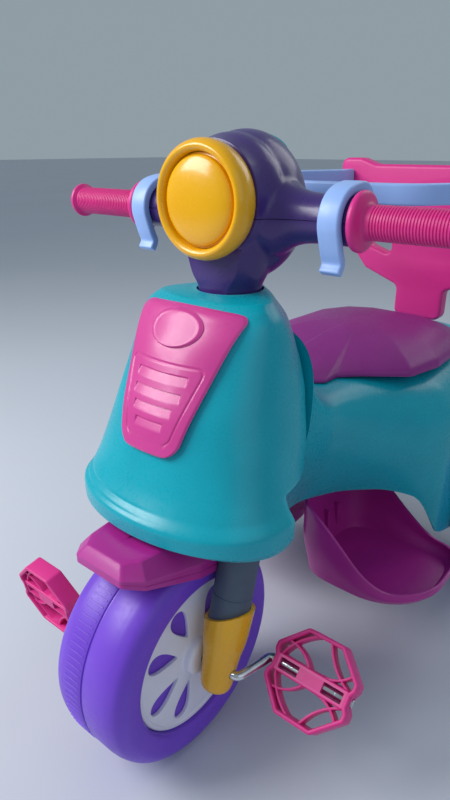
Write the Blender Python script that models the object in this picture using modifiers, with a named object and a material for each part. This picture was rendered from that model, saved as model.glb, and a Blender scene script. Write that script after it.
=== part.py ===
"""Children's pedal tricycle with a scooter-style body, steered front wheel and a safety ring.

Frame: +Z up, the front of the tricycle faces -Y, +X is the rider's left.  Metres.
The origin lies on the ground under the middle of the whole tricycle.
Distances called "setback" are measured from the front axle towards the rear.
"""
import math

import bmesh
import bpy
from mathutils import Matrix, Vector

# ---------------------------------------------------------------- driving dimensions
FIT = 0.0003                      # gap left between two pieces that touch
RUNNING_FIT = 0.0005              # radial gap of a piece that turns on another
WALL = 0.003                      # wall of the moulded shells

# wheels
FRONT_WHEEL_RADIUS = 0.120
FRONT_TYRE_HALF_WIDTH = 0.0465
FRONT_WEB_HALF_WIDTH = 0.034      # recess floor in which the disc lies
FRONT_DISC_RADIUS = 0.084
REAR_WHEEL_RADIUS = 0.098
REAR_TYRE_HALF_WIDTH = 0.024
REAR_WEB_HALF_WIDTH = 0.016
REAR_DISC_RADIUS = 0.066
DISC_THICKNESS = 0.004
HUB_DEPTH = 0.0155                # disc's hub inside the tyre
TYRE_GROOVE = 0.0015
WINDOW_SPREAD = math.radians(20.5)
WINDOW_WIDTH = 0.20               # share of the windows' outer radius
FRONT_HUB = 0.019
FRONT_BOSS = 0.0215
FRONT_BOSS_END = 0.0485
REAR_HUB = 0.012
REAR_BOSS = 0.014
REAR_BOSS_END = 0.0235
WHEELBASE = 0.505
BODY_REAR = 0.608                 # rearmost point of the body, as a setback
REAR_WHEEL_OFFSET = 0.177         # middle of each rear wheel from the middle plane
FRONT_AXLE_Y = (FRONT_WHEEL_RADIUS - BODY_REAR) / 2
REAR_AXLE_RADIUS = 0.005
AXLE_CAP_RADIUS = 0.013

# fork and steering
RAKE = math.radians(15.5)         # steering axis leans back by this angle and passes the front axle
FORK_OFFSET = 0.068               # fork leg from the middle plane
FORK_LEG_RADIUS = 0.020
FORK_SPIGOT_RADIUS = 0.0115
SLEEVE_TOP = 0.052                # along the steering axis from the axle
SLEEVE_BOTTOM = -0.024
SLEEVE_TOP_RADIUS = 0.0225
SLEEVE_BOTTOM_RADIUS = 0.0165
CROWN_BOTTOM = 0.166
CROWN_THICKNESS = 0.022
CROWN_DEPTH = 0.044
COLUMN_RADIUS = 0.011
COLUMN_TOP = 0.427
SPIGOT_END = 0.018                # lower end of the fork leg inside its sleeve
MUDGUARD_WALL = 0.0025
MUDGUARD_SLOPE = 0.012
LEG_CLEARANCE = 0.001
CAP_RADIUS = 0.021
CAP_DEPTH = 0.004
CAP_LEAN = math.radians(32)       # from straight up towards the rear
LENS_RISE = 0.003
BUSH_RADIUS = 0.018
TUBE_FLANGE_RADIUS = 0.034
BUSH_LENGTH = 0.014
TUBE_BOTTOM = 0.218               # body's steering tube along the axis
TUBE_TOP = 0.352

# cranks and pedals
CRANK_ROD_RADIUS = 0.0045
CRANK_RADIUS = 0.042
CRANK_ANGLE = math.radians(3)     # left crank above the level line, pointing to the rear
CRANK_ARM_START = 0.0915          # from the middle plane
CRANK_ARM_END = 0.1025
CRANK_BEND = 0.0062               # bend radius at the middle of the rod
PEDAL_CENTRE = 0.1515
PEDAL_WIDTH = 0.090
PEDAL_DEPTH = 0.086
PEDAL_THICKNESS = 0.021
PEDAL_WALL = 0.0045
PEDAL_BRIDGE = 0.017
PEDAL_RIB = 0.0026
LEFT_PEDAL_TILT = math.radians(45)
RIGHT_PEDAL_TILT = math.radians(100)

# handlebar, head and headlight
BAR_SETBACK = 0.115
BAR_HEIGHT = 0.5455
BAR_RADIUS = 0.0095
BAR_HALF_LENGTH = 0.230
STUB_RADIUS = 0.0205
STUB_END = 0.1240
GRIP_RADIUS = 0.0143
GRIP_FLANGE_RADIUS = 0.0250
GRIP_END_RADIUS = 0.0180
HEAD_SETBACK = 0.122
HEAD_RADIUS = 0.058
HEAD_HALF_HEIGHT = 0.068
HEAD_CENTRE_HEIGHT = 0.550
NECK_RADIUS = 0.031
NECK_BOTTOM = 0.466
NECK_SETBACK = 0.100
LIGHT_HEIGHT = 0.559
LIGHT_SETBACK = 0.051             # front rim of the bezel
LIGHT_DEPTH = 0.0225
LIGHT_RADIUS = 0.051
LENS_RADIUS = 0.0400
LEVER_CENTRE = 0.1098
LEVER_WIDTH = 0.020
LEVER_THICKNESS = 0.0080

# body
SHIELD_BOTTOM = 0.263
LIP_RISE = 0.011                  # lip's lower edge is higher at the front by this much
SHIELD_TOP = 0.4745
NECK_HOLE = 0.0327                # radius of the hole for the neck
TOP_RISE = 0.001                  # of the closed top towards the neck
FORK_WINDOW_FRONT = 0.046         # the lip ends here, so that the fork can swing
FORK_WINDOW_TOP = 0.312
PANEL_THICKNESS = 0.004
PANEL_GAP = 0.0018                # room for the facets of the two curved faces
PANEL_BOTTOM = 0.349
PANEL_TOP = 0.4722
PANEL_TOP_HALF_WIDTH = 0.064
PANEL_BOTTOM_HALF_WIDTH = 0.034
BADGE_HEIGHT = 0.4545
BADGE_HALF_WIDTH = 0.0300
BADGE_HALF_HEIGHT = 0.0165
BADGE_THICKNESS = 0.002
SEAM_SETBACK = 0.110              # joint between front shield and rear body at the shield's bottom
SEAM_SLOPE = 0.14                 # the joint leans back as it rises
SEAT_HALF_WIDTH = 0.120
SEAT_NOSE_HALF_WIDTH = 0.040
SEAT_FRONT = 0.205
SEAT_STEP = 0.262
SEAT_REAR = 0.520
SEAT_CROWN = 0.036                # highest point of the seat above its underside
BODY_HALF_WIDTH = 0.150
BODY_DECK = 0.351                 # top of the body under the seat

# backrest and safety ring
BACKREST_SETBACK = 0.568          # front face
BACKREST_THICKNESS = 0.026
BACKREST_HALF_WIDTH = 0.150
BACKREST_TOP = 0.587
BACKREST_LOW = 0.398              # underside of the frame, above the stem
STEM_HALF_WIDTH = 0.038
RING_HALF_WIDTH = 0.172
RING_FRONT = 0.212
RING_HEIGHT = 0.5605
RING_BAND = 0.020
RING_THICKNESS = 0.011

# footrests
FOOT_INNER = 0.022
FOOT_OUTER = 0.193
FOOT_FRONT = 0.196
FOOT_REAR = WHEELBASE - REAR_WHEEL_RADIUS - 0.055
FOOT_BOTTOM = 0.098
FOOT_OUTER_RIM = 0.118
FOOT_INNER_RIM = 0.196

# colours, roughness and metallic value of each material
TEAL = ("teal_plastic", "#12A5B5", 0.32, 0.0)
ROSE = ("rose_plastic", "#DC4C9A", 0.35, 0.0)
PINK = ("pink_plastic", "#E5307F", 0.38, 0.0)
MAGENTA = ("magenta_plastic", "#A52085", 0.33, 0.0)
PLUM = ("plum_plastic", "#8E2A82", 0.40, 0.0)
VIOLET_DARK = ("dark_violet_plastic", "#45287A", 0.36, 0.0)
VIOLET = ("violet_plastic", "#7A4CD0", 0.38, 0.0)
YELLOW = ("yellow_plastic", "#E8B400", 0.25, 0.0)
SKY = ("sky_plastic", "#A8C6F0", 0.35, 0.0)
WHITE = ("white_plastic", "#DAD6E4", 0.35, 0.0)
GREY = ("grey_plastic", "#56646F", 0.5, 0.0)
STEEL = ("chromed_steel", "#C8CCD0", 0.18, 1.0)

FRONT_AXLE = Vector((0, FRONT_AXLE_Y, FRONT_WHEEL_RADIUS))
REAR_AXLE = Vector((0, FRONT_AXLE_Y + WHEELBASE, REAR_WHEEL_RADIUS))
ALONG_X = Matrix.Rotation(math.pi / 2, 4, "Y")
LEAN = Matrix.Rotation(-RAKE, 4, "X")

for old in list(bpy.data.objects):
    bpy.data.objects.remove(old, do_unlink=True)

parts = bpy.data.collections.new("pedal_tricycle")
tools = bpy.data.collections.new("cutters")
for group in (parts, tools):
    bpy.context.scene.collection.children.link(group)


# ---------------------------------------------------------------- helpers
def y_at(setback):
    """World Y of a setback from the front axle."""
    return FRONT_AXLE_Y + setback


def axis_point(distance):
    """World point on the steering axis at a distance from the front axle."""
    return FRONT_AXLE + LEAN @ Vector((0, 0, distance))


def material(finish):
    """The material of a finish, made once."""
    name, colour, roughness, metallic = finish
    found = bpy.data.materials.get(name)
    if found:
        return found
    made = bpy.data.materials.new(name)
    made.use_nodes = True
    channels = [int(colour[i:i + 2], 16) / 255 for i in (1, 3, 5)]
    linear = [c / 12.92 if c <= 0.04045 else ((c + 0.055) / 1.055) ** 2.4 for c in channels]
    shader = made.node_tree.nodes["Principled BSDF"]
    shader.inputs["Base Color"].default_value = (*linear, 1)
    shader.inputs["Roughness"].default_value = roughness
    shader.inputs["Metallic"].default_value = metallic
    return made


def place(obj, finish, location=(0, 0, 0), rotation=None, smooth=35):
    """Give an object its collection, material and place."""
    (parts if finish else tools).objects.link(obj)
    if rotation is not None:
        obj.rotation_euler = rotation.to_euler()
    obj.location = location
    if finish:
        obj.data.materials.append(material(finish))
    if smooth and obj.type == "MESH":
        obj.data.shade_smooth()
        obj.data.set_sharp_from_angle(angle=math.radians(smooth))
    if not finish:
        obj.hide_render = True
        obj.display_type = "WIRE"
    return obj


def from_bmesh(name, bm, finish, location=(0, 0, 0), rotation=None, smooth=35):
    """Turn a bmesh into a placed object."""
    bmesh.ops.recalc_face_normals(bm, faces=bm.faces)
    mesh = bpy.data.meshes.new(name)
    bm.to_mesh(mesh)
    bm.free()
    return place(bpy.data.objects.new(name, mesh), finish, location, rotation, smooth)


def loft(name, rings, finish, location=(0, 0, 0), rotation=None, caps=(True, True), wall=None,
         closed=True, smooth=35):
    """Skin through rings of equal point count; with a wall, the skin is thickened inwards."""
    bm = bmesh.new()
    rows = [[bm.verts.new(p) for p in ring] for ring in rings]
    count = len(rows[0])
    for low, high in zip(rows, rows[1:]):
        for i in range(count if closed else count - 1):
            j = (i + 1) % count
            bm.faces.new((low[i], low[j], high[j], high[i]))
    if caps[0]:
        bm.faces.new(rows[0])
    if caps[1]:
        bm.faces.new(rows[-1])
    obj = from_bmesh(name, bm, finish, location, rotation, smooth)
    if wall:
        shell = obj.modifiers.new("wall", "SOLIDIFY")
        shell.thickness = wall
        shell.offset = -1
        shell.use_even_offset = True
    return obj


def turned(name, profile, finish, location=(0, 0, 0), rotation=None, steps=32):
    """Turn a profile of (radius, height) about local Z; the outer side runs top to bottom."""
    mesh = bpy.data.meshes.new(name)
    count = len(profile)
    closed = profile[0][0] > 0 and profile[-1][0] > 0
    edges = [(i, i + 1) for i in range(count - 1)] + ([(count - 1, 0)] if closed else [])
    mesh.from_pydata([(r, 0, z) for r, z in profile], edges, [])
    obj = place(bpy.data.objects.new(name, mesh), finish, location, rotation, None)
    screw = obj.modifiers.new("turn", "SCREW")
    screw.steps = steps
    screw.render_steps = steps
    screw.use_merge_vertices = True
    screw.merge_threshold = 0.00001
    screw.use_smooth_shade = True
    weld = obj.modifiers.new("weld", "WELD")
    weld.merge_threshold = 0.00001
    return obj


def block(name, size, finish, location=(0, 0, 0), rotation=None, bevel=0.0, segments=2):
    """A box with rounded edges."""
    bm = bmesh.new()
    bmesh.ops.create_cube(bm, size=1, matrix=Matrix.Diagonal((*size, 1)))
    obj = from_bmesh(name, bm, finish, location, rotation)
    if bevel:
        rounding = obj.modifiers.new("rounding", "BEVEL")
        rounding.width = bevel
        rounding.segments = segments
    return obj


def cylinder(name, radius, length, finish, location=(0, 0, 0), rotation=None, sides=24, bevel=0.0):
    """A cylinder along local Z, centred on its location."""
    bm = bmesh.new()
    bmesh.ops.create_cone(bm, cap_ends=True, segments=sides, radius1=radius, radius2=radius, depth=length)
    obj = from_bmesh(name, bm, finish, location, rotation)
    if bevel:
        rounding = obj.modifiers.new("rounding", "BEVEL")
        rounding.width = bevel
        rounding.segments = 2
        rounding.limit_method = "ANGLE"
    return obj


def tube_along(name, points, radius, finish, resolution=4):
    """A round rod through points, its ends closed."""
    curve = bpy.data.curves.new(name, "CURVE")
    curve.dimensions = "3D"
    spline = curve.splines.new("POLY")
    spline.points.add(len(points) - 1)
    for point, place_at in zip(spline.points, points):
        point.co = (*place_at, 1)
    curve.bevel_depth = radius
    curve.bevel_resolution = resolution
    curve.use_fill_caps = True
    return place(bpy.data.objects.new(name, curve), finish, smooth=None)


def plate(name, outlines, thickness, finish, location=(0, 0, 0), rotation=None, bevel=0.0):
    """A flat outline in local XY with any holes, thickened about its plane, made a mesh."""
    curve = bpy.data.curves.new(name, "CURVE")
    curve.dimensions = "2D"
    curve.fill_mode = "BOTH"
    curve.extrude = thickness / 2 - bevel
    curve.bevel_depth = bevel
    curve.bevel_resolution = 1
    curve.offset = -bevel
    for outline in outlines:
        spline = curve.splines.new("POLY")
        spline.points.add(len(outline) - 1)
        for point, (x, y) in zip(spline.points, outline):
            point.co = (x, y, 0, 1)
        spline.use_cyclic_u = True
    flat = bpy.data.objects.new(name + "_outline", curve)
    tools.objects.link(flat)
    bpy.context.view_layer.update()
    evaluated = flat.evaluated_get(bpy.context.evaluated_depsgraph_get())
    mesh = bpy.data.meshes.new_from_object(evaluated)
    mesh.name = name
    mesh.materials.clear()
    bpy.data.objects.remove(flat)
    bm = bmesh.new()
    bm.from_mesh(mesh)
    bmesh.ops.remove_doubles(bm, verts=bm.verts, dist=0.00001)
    bmesh.ops.recalc_face_normals(bm, faces=bm.faces)
    bm.to_mesh(mesh)
    bm.free()
    return place(bpy.data.objects.new(name, mesh), finish, location, rotation)


def combine(target, other, operation="DIFFERENCE"):
    """Cut, join or intersect the target with another object."""
    change = target.modifiers.new(operation.lower(), "BOOLEAN")
    change.operation = operation
    change.solver = "EXACT"
    change.object = other


def rounded_path(points, radius, steps=5):
    """Replace each inner corner of a path by an arc of the given radius."""
    path = [Vector(points[0])]
    for before, corner, after in zip(points, points[1:], points[2:]):
        corner = Vector(corner)
        back = (Vector(before) - corner).normalized()
        ahead = (Vector(after) - corner).normalized()
        half = back.angle(ahead) / 2
        reach = radius / math.tan(half)
        centre = corner + (back + ahead).normalized() * (radius / math.sin(half))
        start = corner + back * reach - centre
        end = corner + ahead * reach - centre
        sweep = start.angle(end)
        for k in range(steps + 1):
            t = k / steps
            arm = (start * math.sin((1 - t) * sweep) + end * math.sin(t * sweep)) / math.sin(sweep)
            path.append(centre + arm)
    path.append(Vector(points[-1]))
    return path


def round_outline(points, radius, steps=4):
    """Round every corner of a closed flat outline."""
    count = len(points)
    outline = []
    for i, corner in enumerate(points):
        trio = [(*points[i - 1], 0), (*corner, 0), (*points[(i + 1) % count], 0)]
        outline.extend((p.x, p.y) for p in rounded_path(trio, radius, steps)[1:-1])
    return outline


def mirrored(outline):
    """Close a half outline at +X with its mirror image."""
    return outline + [(-x, y) for x, y in reversed(outline)]


def smooth_step(t):
    """Ease from 0 to 1."""
    t = min(1.0, max(0.0, t))
    return t * t * (3 - 2 * t)


def blend_table(table, t):
    """Smooth interpolation through rows of (key, values...)."""
    keys = [row[0] for row in table]
    if t <= keys[0]:
        return table[0][1:]
    for low, high in zip(table, table[1:]):
        if t <= high[0]:
            share = (t - low[0]) / (high[0] - low[0])
            return tuple(a + (b - a) * share for a, b in zip(low[1:], high[1:]))
    return table[-1][1:]


# ---------------------------------------------------------------- wheels
def flat_below(steps):
    """Turn that puts the middle of a facet, not a corner, at the bottom of a turned piece."""
    return Matrix.Rotation(math.pi / steps, 4, "Z")


def tyre(name, centre, radius, half_width, web, disc_radius, hub, steps):
    """Blow-moulded tyre with a seam groove and a recess for a disc in each side."""
    shoulder = radius - disc_radius
    tread = radius / math.cos(math.pi / steps)
    half = [(hub + FIT, web), (disc_radius + FIT, web), (disc_radius + FIT, 0.93 * half_width),
            (radius - 0.78 * shoulder, half_width), (radius - 0.42 * shoulder, half_width),
            (radius - 0.13 * shoulder, 0.85 * half_width), (tread, 0.48 * half_width), (tread, TYRE_GROOVE),
            (tread - TYRE_GROOVE, 0.0)]
    profile = half + [(r, -x) for r, x in reversed(half[:-1])]
    turned(name, profile, VIOLET, centre, ALONG_X @ flat_below(steps), steps)


def disc_windows(pairs, inner, outer, corners):
    """Teardrop windows of a wheel disc, in pairs between its broad spokes."""
    holes = []
    for pair in range(pairs):
        for side in (-1, 1):
            middle = 2 * math.pi * (pair + 0.5) / pairs + side * WINDOW_SPREAD
            hole = []
            for step in range(corners):
                turn = 2 * math.pi * step / corners
                along = (inner + outer) / 2 + (outer - inner) / 2 * math.cos(turn)
                across = WINDOW_WIDTH * outer * (0.62 + 0.38 * math.cos(turn)) * math.sin(turn)
                hole.append((along * math.cos(middle) - across * math.sin(middle),
                             along * math.sin(middle) + across * math.cos(middle)))
            holes.append(hole)
    return holes


def wheel_disc(name, centre, side, radius, web, boss_radius, boss_end, hub, bore, steps, corners):
    """Moulded disc with a boss on its outer face and a hub let into the tyre; corners shape its windows."""
    turn = Matrix.Rotation(side * math.pi / 2, 4, "Y")
    low = web + FIT
    high = low + DISC_THICKNESS
    hub_end = low - HUB_DEPTH
    profile = [(bore, boss_end), (boss_radius * 0.8, boss_end), (boss_radius, boss_end - 0.004),
               (boss_radius * 1.08, high), (radius, high), (radius, low), (hub, low),
               (hub, hub_end), (bore, hub_end)]
    disc = turned(name, profile, WHITE, centre, turn @ flat_below(steps), steps)
    if not corners:
        return
    holes = disc_windows(4, boss_radius * 1.08 + 0.10 * radius, radius * 0.88, corners)
    middle = centre + Vector((side * (low + high) / 2, 0, 0))
    combine(disc, plate(name + "_windows", holes, 2.5 * DISC_THICKNESS, None, middle, turn))


tyre("front_tyre", FRONT_AXLE, FRONT_WHEEL_RADIUS, FRONT_TYRE_HALF_WIDTH, FRONT_WEB_HALF_WIDTH,
     FRONT_DISC_RADIUS, FRONT_HUB, 32)
for side, label in ((1, "left"), (-1, "right")):
    wheel_disc(f"front_disc_{label}", FRONT_AXLE, side, FRONT_DISC_RADIUS, FRONT_WEB_HALF_WIDTH,
               FRONT_BOSS, FRONT_BOSS_END, FRONT_HUB, CRANK_ROD_RADIUS + FIT, 32, 8)

for side, label in ((1, "left"), (-1, "right")):
    middle = REAR_AXLE + Vector((side * REAR_WHEEL_OFFSET, 0, 0))
    tyre(f"rear_tyre_{label}", middle, REAR_WHEEL_RADIUS, REAR_TYRE_HALF_WIDTH, REAR_WEB_HALF_WIDTH,
         REAR_DISC_RADIUS, REAR_HUB, 24)
    for face, place_name, corners in ((side, "outer", 6), (-side, "inner", 0)):
        wheel_disc(f"rear_disc_{label}_{place_name}", middle, face, REAR_DISC_RADIUS, REAR_WEB_HALF_WIDTH,
                   REAR_BOSS, REAR_BOSS_END, REAR_HUB, REAR_AXLE_RADIUS + RUNNING_FIT, 24, corners)


# ---------------------------------------------------------------- cranks and pedals
CRANK_ARM = Vector((0, math.cos(CRANK_ANGLE), math.sin(CRANK_ANGLE))) * CRANK_RADIUS


def crank_axle():
    """One bent rod: axle, two short arms and two pedal spindles."""
    half = [Vector((CRANK_ARM_START, 0, 0)), Vector((CRANK_ARM_END, 0, 0)) + CRANK_ARM,
            Vector((PEDAL_CENTRE + PEDAL_WIDTH / 2 - 2 * FIT, 0, 0)) + CRANK_ARM]
    corners = [FRONT_AXLE - p for p in reversed(half)] + [FRONT_AXLE + p for p in half]
    tube_along("crank_axle", rounded_path(corners, CRANK_BEND, 3), CRANK_ROD_RADIUS, STEEL, resolution=2)


def pedal(label, side, tilt):
    """Open lattice pedal that turns on its spindle."""
    name = f"pedal_{label}"
    centre = FRONT_AXLE + Vector((side * PEDAL_CENTRE, 0, 0)) + side * CRANK_ARM
    turn = Matrix.Rotation(tilt, 4, "X")
    half_width = PEDAL_WIDTH / 2
    half_depth = PEDAL_DEPTH / 2
    corner = 0.024
    outer = [(half_width, -half_depth + corner), (half_width, -0.010), (half_width - 0.0035, -0.006),
             (half_width - 0.0035, 0.006), (half_width, 0.010), (half_width, half_depth - corner),
             (half_width - corner, half_depth)]
    outer = mirrored([(half_width - corner, -half_depth)] + outer)
    shrink = (half_width - PEDAL_WALL) / half_width
    inner = mirrored([(half_width - corner, -half_depth + PEDAL_WALL), (half_width - PEDAL_WALL,
                      -half_depth + corner), (half_width - PEDAL_WALL, half_depth - corner),
                      (half_width - corner, half_depth - PEDAL_WALL)])
    inner = [(x * shrink, y) for x, y in inner]
    frame = plate(name, [outer, inner], PEDAL_THICKNESS, PINK, centre, turn)
    bridge = block(name + "_bridge", (PEDAL_WIDTH - PEDAL_WALL, PEDAL_BRIDGE, PEDAL_THICKNESS * 0.84), None,
                   centre, turn)
    combine(frame, bridge, "UNION")
    reach = (half_depth - PEDAL_BRIDGE / 2) / math.cos(math.radians(32))
    for row in (-1, 1):
        for column in (-1, 1):
            for lean in (-1, 1):
                rib = block(f"{name}_rib_{row + 1}{column + 1}{lean + 1}",
                            (PEDAL_RIB, reach, PEDAL_THICKNESS * 0.6), None)
                local = Matrix.Translation((column * PEDAL_WIDTH * 0.22, row * (half_depth + PEDAL_BRIDGE / 2) / 2, 0))
                local = local @ Matrix.Rotation(math.radians(32) * lean, 4, "Z")
                world = Matrix.Translation(centre) @ turn @ local
                rib.location = world.translation
                rib.rotation_euler = world.to_euler()
                combine(frame, rib, "UNION")
    for window in (-1, 1):
        place_x = centre + Vector((window * PEDAL_WIDTH * 0.27, 0, 0))
        combine(frame, block(f"{name}_window_{window + 1}", (PEDAL_WIDTH * 0.24, PEDAL_BRIDGE * 0.62,
                             PEDAL_THICKNESS * 1.2), None, place_x, turn))
    combine(frame, cylinder(name + "_bore", CRANK_ROD_RADIUS + RUNNING_FIT, PEDAL_WIDTH * 1.2, None, centre,
                            ALONG_X, sides=12))
    washer_x = centre.x + side * PEDAL_WIDTH * 0.29
    inner_r = CRANK_ROD_RADIUS + FIT / 2
    turned(f"pedal_washer_{label}", [(inner_r, 0.0006), (PEDAL_BRIDGE * 0.28, 0.0006),
                                     (PEDAL_BRIDGE * 0.28, -0.0006), (inner_r, -0.0006)],
           STEEL, (washer_x, centre.y, centre.z), ALONG_X, steps=16)


crank_axle()
pedal("left", 1, LEFT_PEDAL_TILT)
pedal("right", -1, RIGHT_PEDAL_TILT)


# ---------------------------------------------------------------- fork and steering column
def fork():
    """Crown, two legs, their sleeves and the column, all along the raked axis."""
    crown_top = CROWN_BOTTOM + CROWN_THICKNESS
    width = 2 * (FORK_OFFSET + FORK_LEG_RADIUS)
    block("fork_crown", (width, CROWN_DEPTH, CROWN_THICKNESS), GREY,
          axis_point(CROWN_BOTTOM + CROWN_THICKNESS / 2), LEAN, bevel=0.005, segments=3)
    column_bottom = crown_top + FIT
    cylinder("steering_column", COLUMN_RADIUS, COLUMN_TOP - column_bottom, STEEL,
             axis_point((COLUMN_TOP + column_bottom) / 2), LEAN, sides=20)
    for side, label in ((1, "left"), (-1, "right")):
        base = FRONT_AXLE + Vector((side * FORK_OFFSET, 0, 0))
        leg_top = CROWN_BOTTOM - FIT
        leg_low = SLEEVE_TOP + FIT
        turned(f"fork_leg_{label}", [(0, leg_top), (FORK_LEG_RADIUS, leg_top), (FORK_LEG_RADIUS, leg_low),
                                     (FORK_SPIGOT_RADIUS, leg_low), (FORK_SPIGOT_RADIUS, SPIGOT_END),
                                     (0, SPIGOT_END)], GREY, base, LEAN, steps=24)
        bore = FORK_SPIGOT_RADIUS + FIT
        sleeve = turned(f"fork_sleeve_{label}",
                        [(bore, SLEEVE_TOP), (SLEEVE_TOP_RADIUS, SLEEVE_TOP), (SLEEVE_TOP_RADIUS - 0.001, 0.034),
                         (SLEEVE_BOTTOM_RADIUS + 0.0008, 0.0), (SLEEVE_BOTTOM_RADIUS, SLEEVE_BOTTOM + 0.006),
                         (SLEEVE_BOTTOM_RADIUS - 0.004, SLEEVE_BOTTOM), (0, SLEEVE_BOTTOM),
                         (0, SPIGOT_END - FIT), (bore, SPIGOT_END - FIT)], YELLOW, base, LEAN, steps=24)
        combine(sleeve, cylinder(f"crank_bore_{label}", CRANK_ROD_RADIUS + RUNNING_FIT,
                                 4 * SLEEVE_TOP_RADIUS, None, base, ALONG_X))


fork()


# setback, lower edge, upper edge
MUDGUARD_EDGES = [(-0.09, 0.2520, 0.2685), (-0.01, 0.2270, 0.2680), (0.06, 0.2120, 0.2635), (0.095, 0.2060, 0.2505)]


def mudguard():
    """Facetted cover over the front wheel, notched around the fork legs and open below."""
    top = [(0.030, -0.086), (0.044, -0.070), (0.054, -0.010), (0.054, 0.062), (0.040, 0.086), (0.016, 0.094)]
    rows = []
    for share, inset in ((0.0, 0.0), (0.42, 0.0), (1.0, 1.0)):
        ring = []
        for x, setback in mirrored([(x, s) for x, s in top]):
            low, high = blend_table(MUDGUARD_EDGES, setback)
            slope = MUDGUARD_SLOPE * inset
            ring.append((x * (1 - slope / 0.05), y_at(setback * (1 - 0.6 * slope / 0.08)), low + (high - low) * share))
        rows.append(ring)
    cover = loft("mudguard", rows, MAGENTA, caps=(False, True), wall=MUDGUARD_WALL, smooth=20)
    for side in (-1, 1):
        base = axis_point(CROWN_BOTTOM * 0.8) + Vector((side * FORK_OFFSET, 0, 0))
        combine(cover, cylinder(f"leg_notch_{side + 1}", FORK_LEG_RADIUS + LEG_CLEARANCE, 0.2, None, base, LEAN))


mudguard()


# ---------------------------------------------------------------- head, headlight and handlebar
def head_blank(name, finish):
    """Solid head: a bulb on a neck with a stub arm to each side and a flat front."""
    ball = []
    for step in range(1, 12):
        turn = math.radians(90 - step * 15)
        ball.append((HEAD_RADIUS * math.cos(turn), HEAD_HALF_HEIGHT * math.sin(turn)))
    ball = [(0, HEAD_HALF_HEIGHT)] + ball + [(0, -HEAD_HALF_HEIGHT)]
    head = turned(name, ball, finish, (0, y_at(HEAD_SETBACK), HEAD_CENTRE_HEIGHT), steps=32)
    neck = turned(name + "_neck", [(0, HEAD_CENTRE_HEIGHT), (NECK_RADIUS + 0.016, HEAD_CENTRE_HEIGHT - 0.015),
                                   (NECK_RADIUS + 0.006, NECK_BOTTOM + 0.026), (NECK_RADIUS, NECK_BOTTOM + 0.014),
                                   (NECK_RADIUS, NECK_BOTTOM), (0, NECK_BOTTOM)],
                  None, (0, y_at(NECK_SETBACK), 0), steps=28)
    combine(head, neck, "UNION")
    front = LIGHT_SETBACK + LIGHT_DEPTH + FIT
    housing = turned(name + "_housing", [(0, 0.004), (LIGHT_RADIUS - 0.001, 0.004), (HEAD_RADIUS - 0.002, -0.030),
                                         (HEAD_RADIUS - 0.014, -0.052), (0, -0.060)],
                     None, (0, y_at(front), LIGHT_HEIGHT), Matrix.Rotation(math.pi / 2, 4, "X"), steps=32)
    combine(head, housing, "UNION")
    arms = turned(name + "_arms", [(0, STUB_END), (STUB_RADIUS, STUB_END), (STUB_RADIUS, 0.085),
                                   (STUB_RADIUS + 0.003, 0.066), (STUB_RADIUS + 0.012, 0.050),
                                   (STUB_RADIUS + 0.012, -0.050), (STUB_RADIUS + 0.003, -0.066),
                                   (STUB_RADIUS, -0.085), (STUB_RADIUS, -STUB_END), (0, -STUB_END)],
                  None, (0, y_at(BAR_SETBACK), BAR_HEIGHT), ALONG_X, steps=26)
    combine(head, arms, "UNION")
    combine(head, block(name + "_front", (0.2, 0.1, 0.2), None, (0, y_at(front - 0.05), LIGHT_HEIGHT)))
    combine(head, cylinder(name + "_bar_bore", BAR_RADIUS + FIT, 0.5, None,
                           (0, y_at(BAR_SETBACK), BAR_HEIGHT), ALONG_X, sides=22))
    combine(head, cylinder(name + "_column_bore", COLUMN_RADIUS + FIT, 0.2, None,
                           axis_point(COLUMN_TOP + FIT - 0.1), LEAN))
    return head


def head():
    """Two half shells that meet at the height of the handlebar, with a cap at the upper rear."""
    seam = BAR_HEIGHT
    for name, sign in (("head_lower", 1), ("head_upper", -1)):
        shell = head_blank(name, VIOLET_DARK)
        middle = seam + sign * (0.1 - FIT / 2)
        combine(shell, block(name + "_seam", (0.4, 0.4, 0.2), None, (0, y_at(HEAD_SETBACK), middle)))
        if sign < 0:
            combine(shell, cylinder("cap_seat", CAP_RADIUS + FIT, 0.02, None,
                                    cap_centre() + cap_turn() @ Vector((0, 0, 0.01 - CAP_DEPTH)), cap_turn()))
    turned("head_cap", [(0, CAP_DEPTH), (CAP_RADIUS * 0.6, CAP_DEPTH * 0.8), (CAP_RADIUS * 0.93, CAP_DEPTH * 0.3),
                        (CAP_RADIUS, 0.0), (CAP_RADIUS, -CAP_DEPTH + FIT), (0, -CAP_DEPTH + FIT)],
           TEAL, cap_centre(), cap_turn(), steps=24)


def cap_turn():
    """Turn that points local Z up and to the rear of the head."""
    return Matrix.Rotation(-CAP_LEAN, 4, "X")


def cap_centre():
    """Point on the head where the cap sits."""
    middle = Vector((0, y_at(HEAD_SETBACK), HEAD_CENTRE_HEIGHT))
    reach = 1 / math.hypot(math.sin(CAP_LEAN) / HEAD_RADIUS, math.cos(CAP_LEAN) / HEAD_HALF_HEIGHT)
    return middle + cap_turn() @ Vector((0, 0, reach - 0.001))


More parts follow.
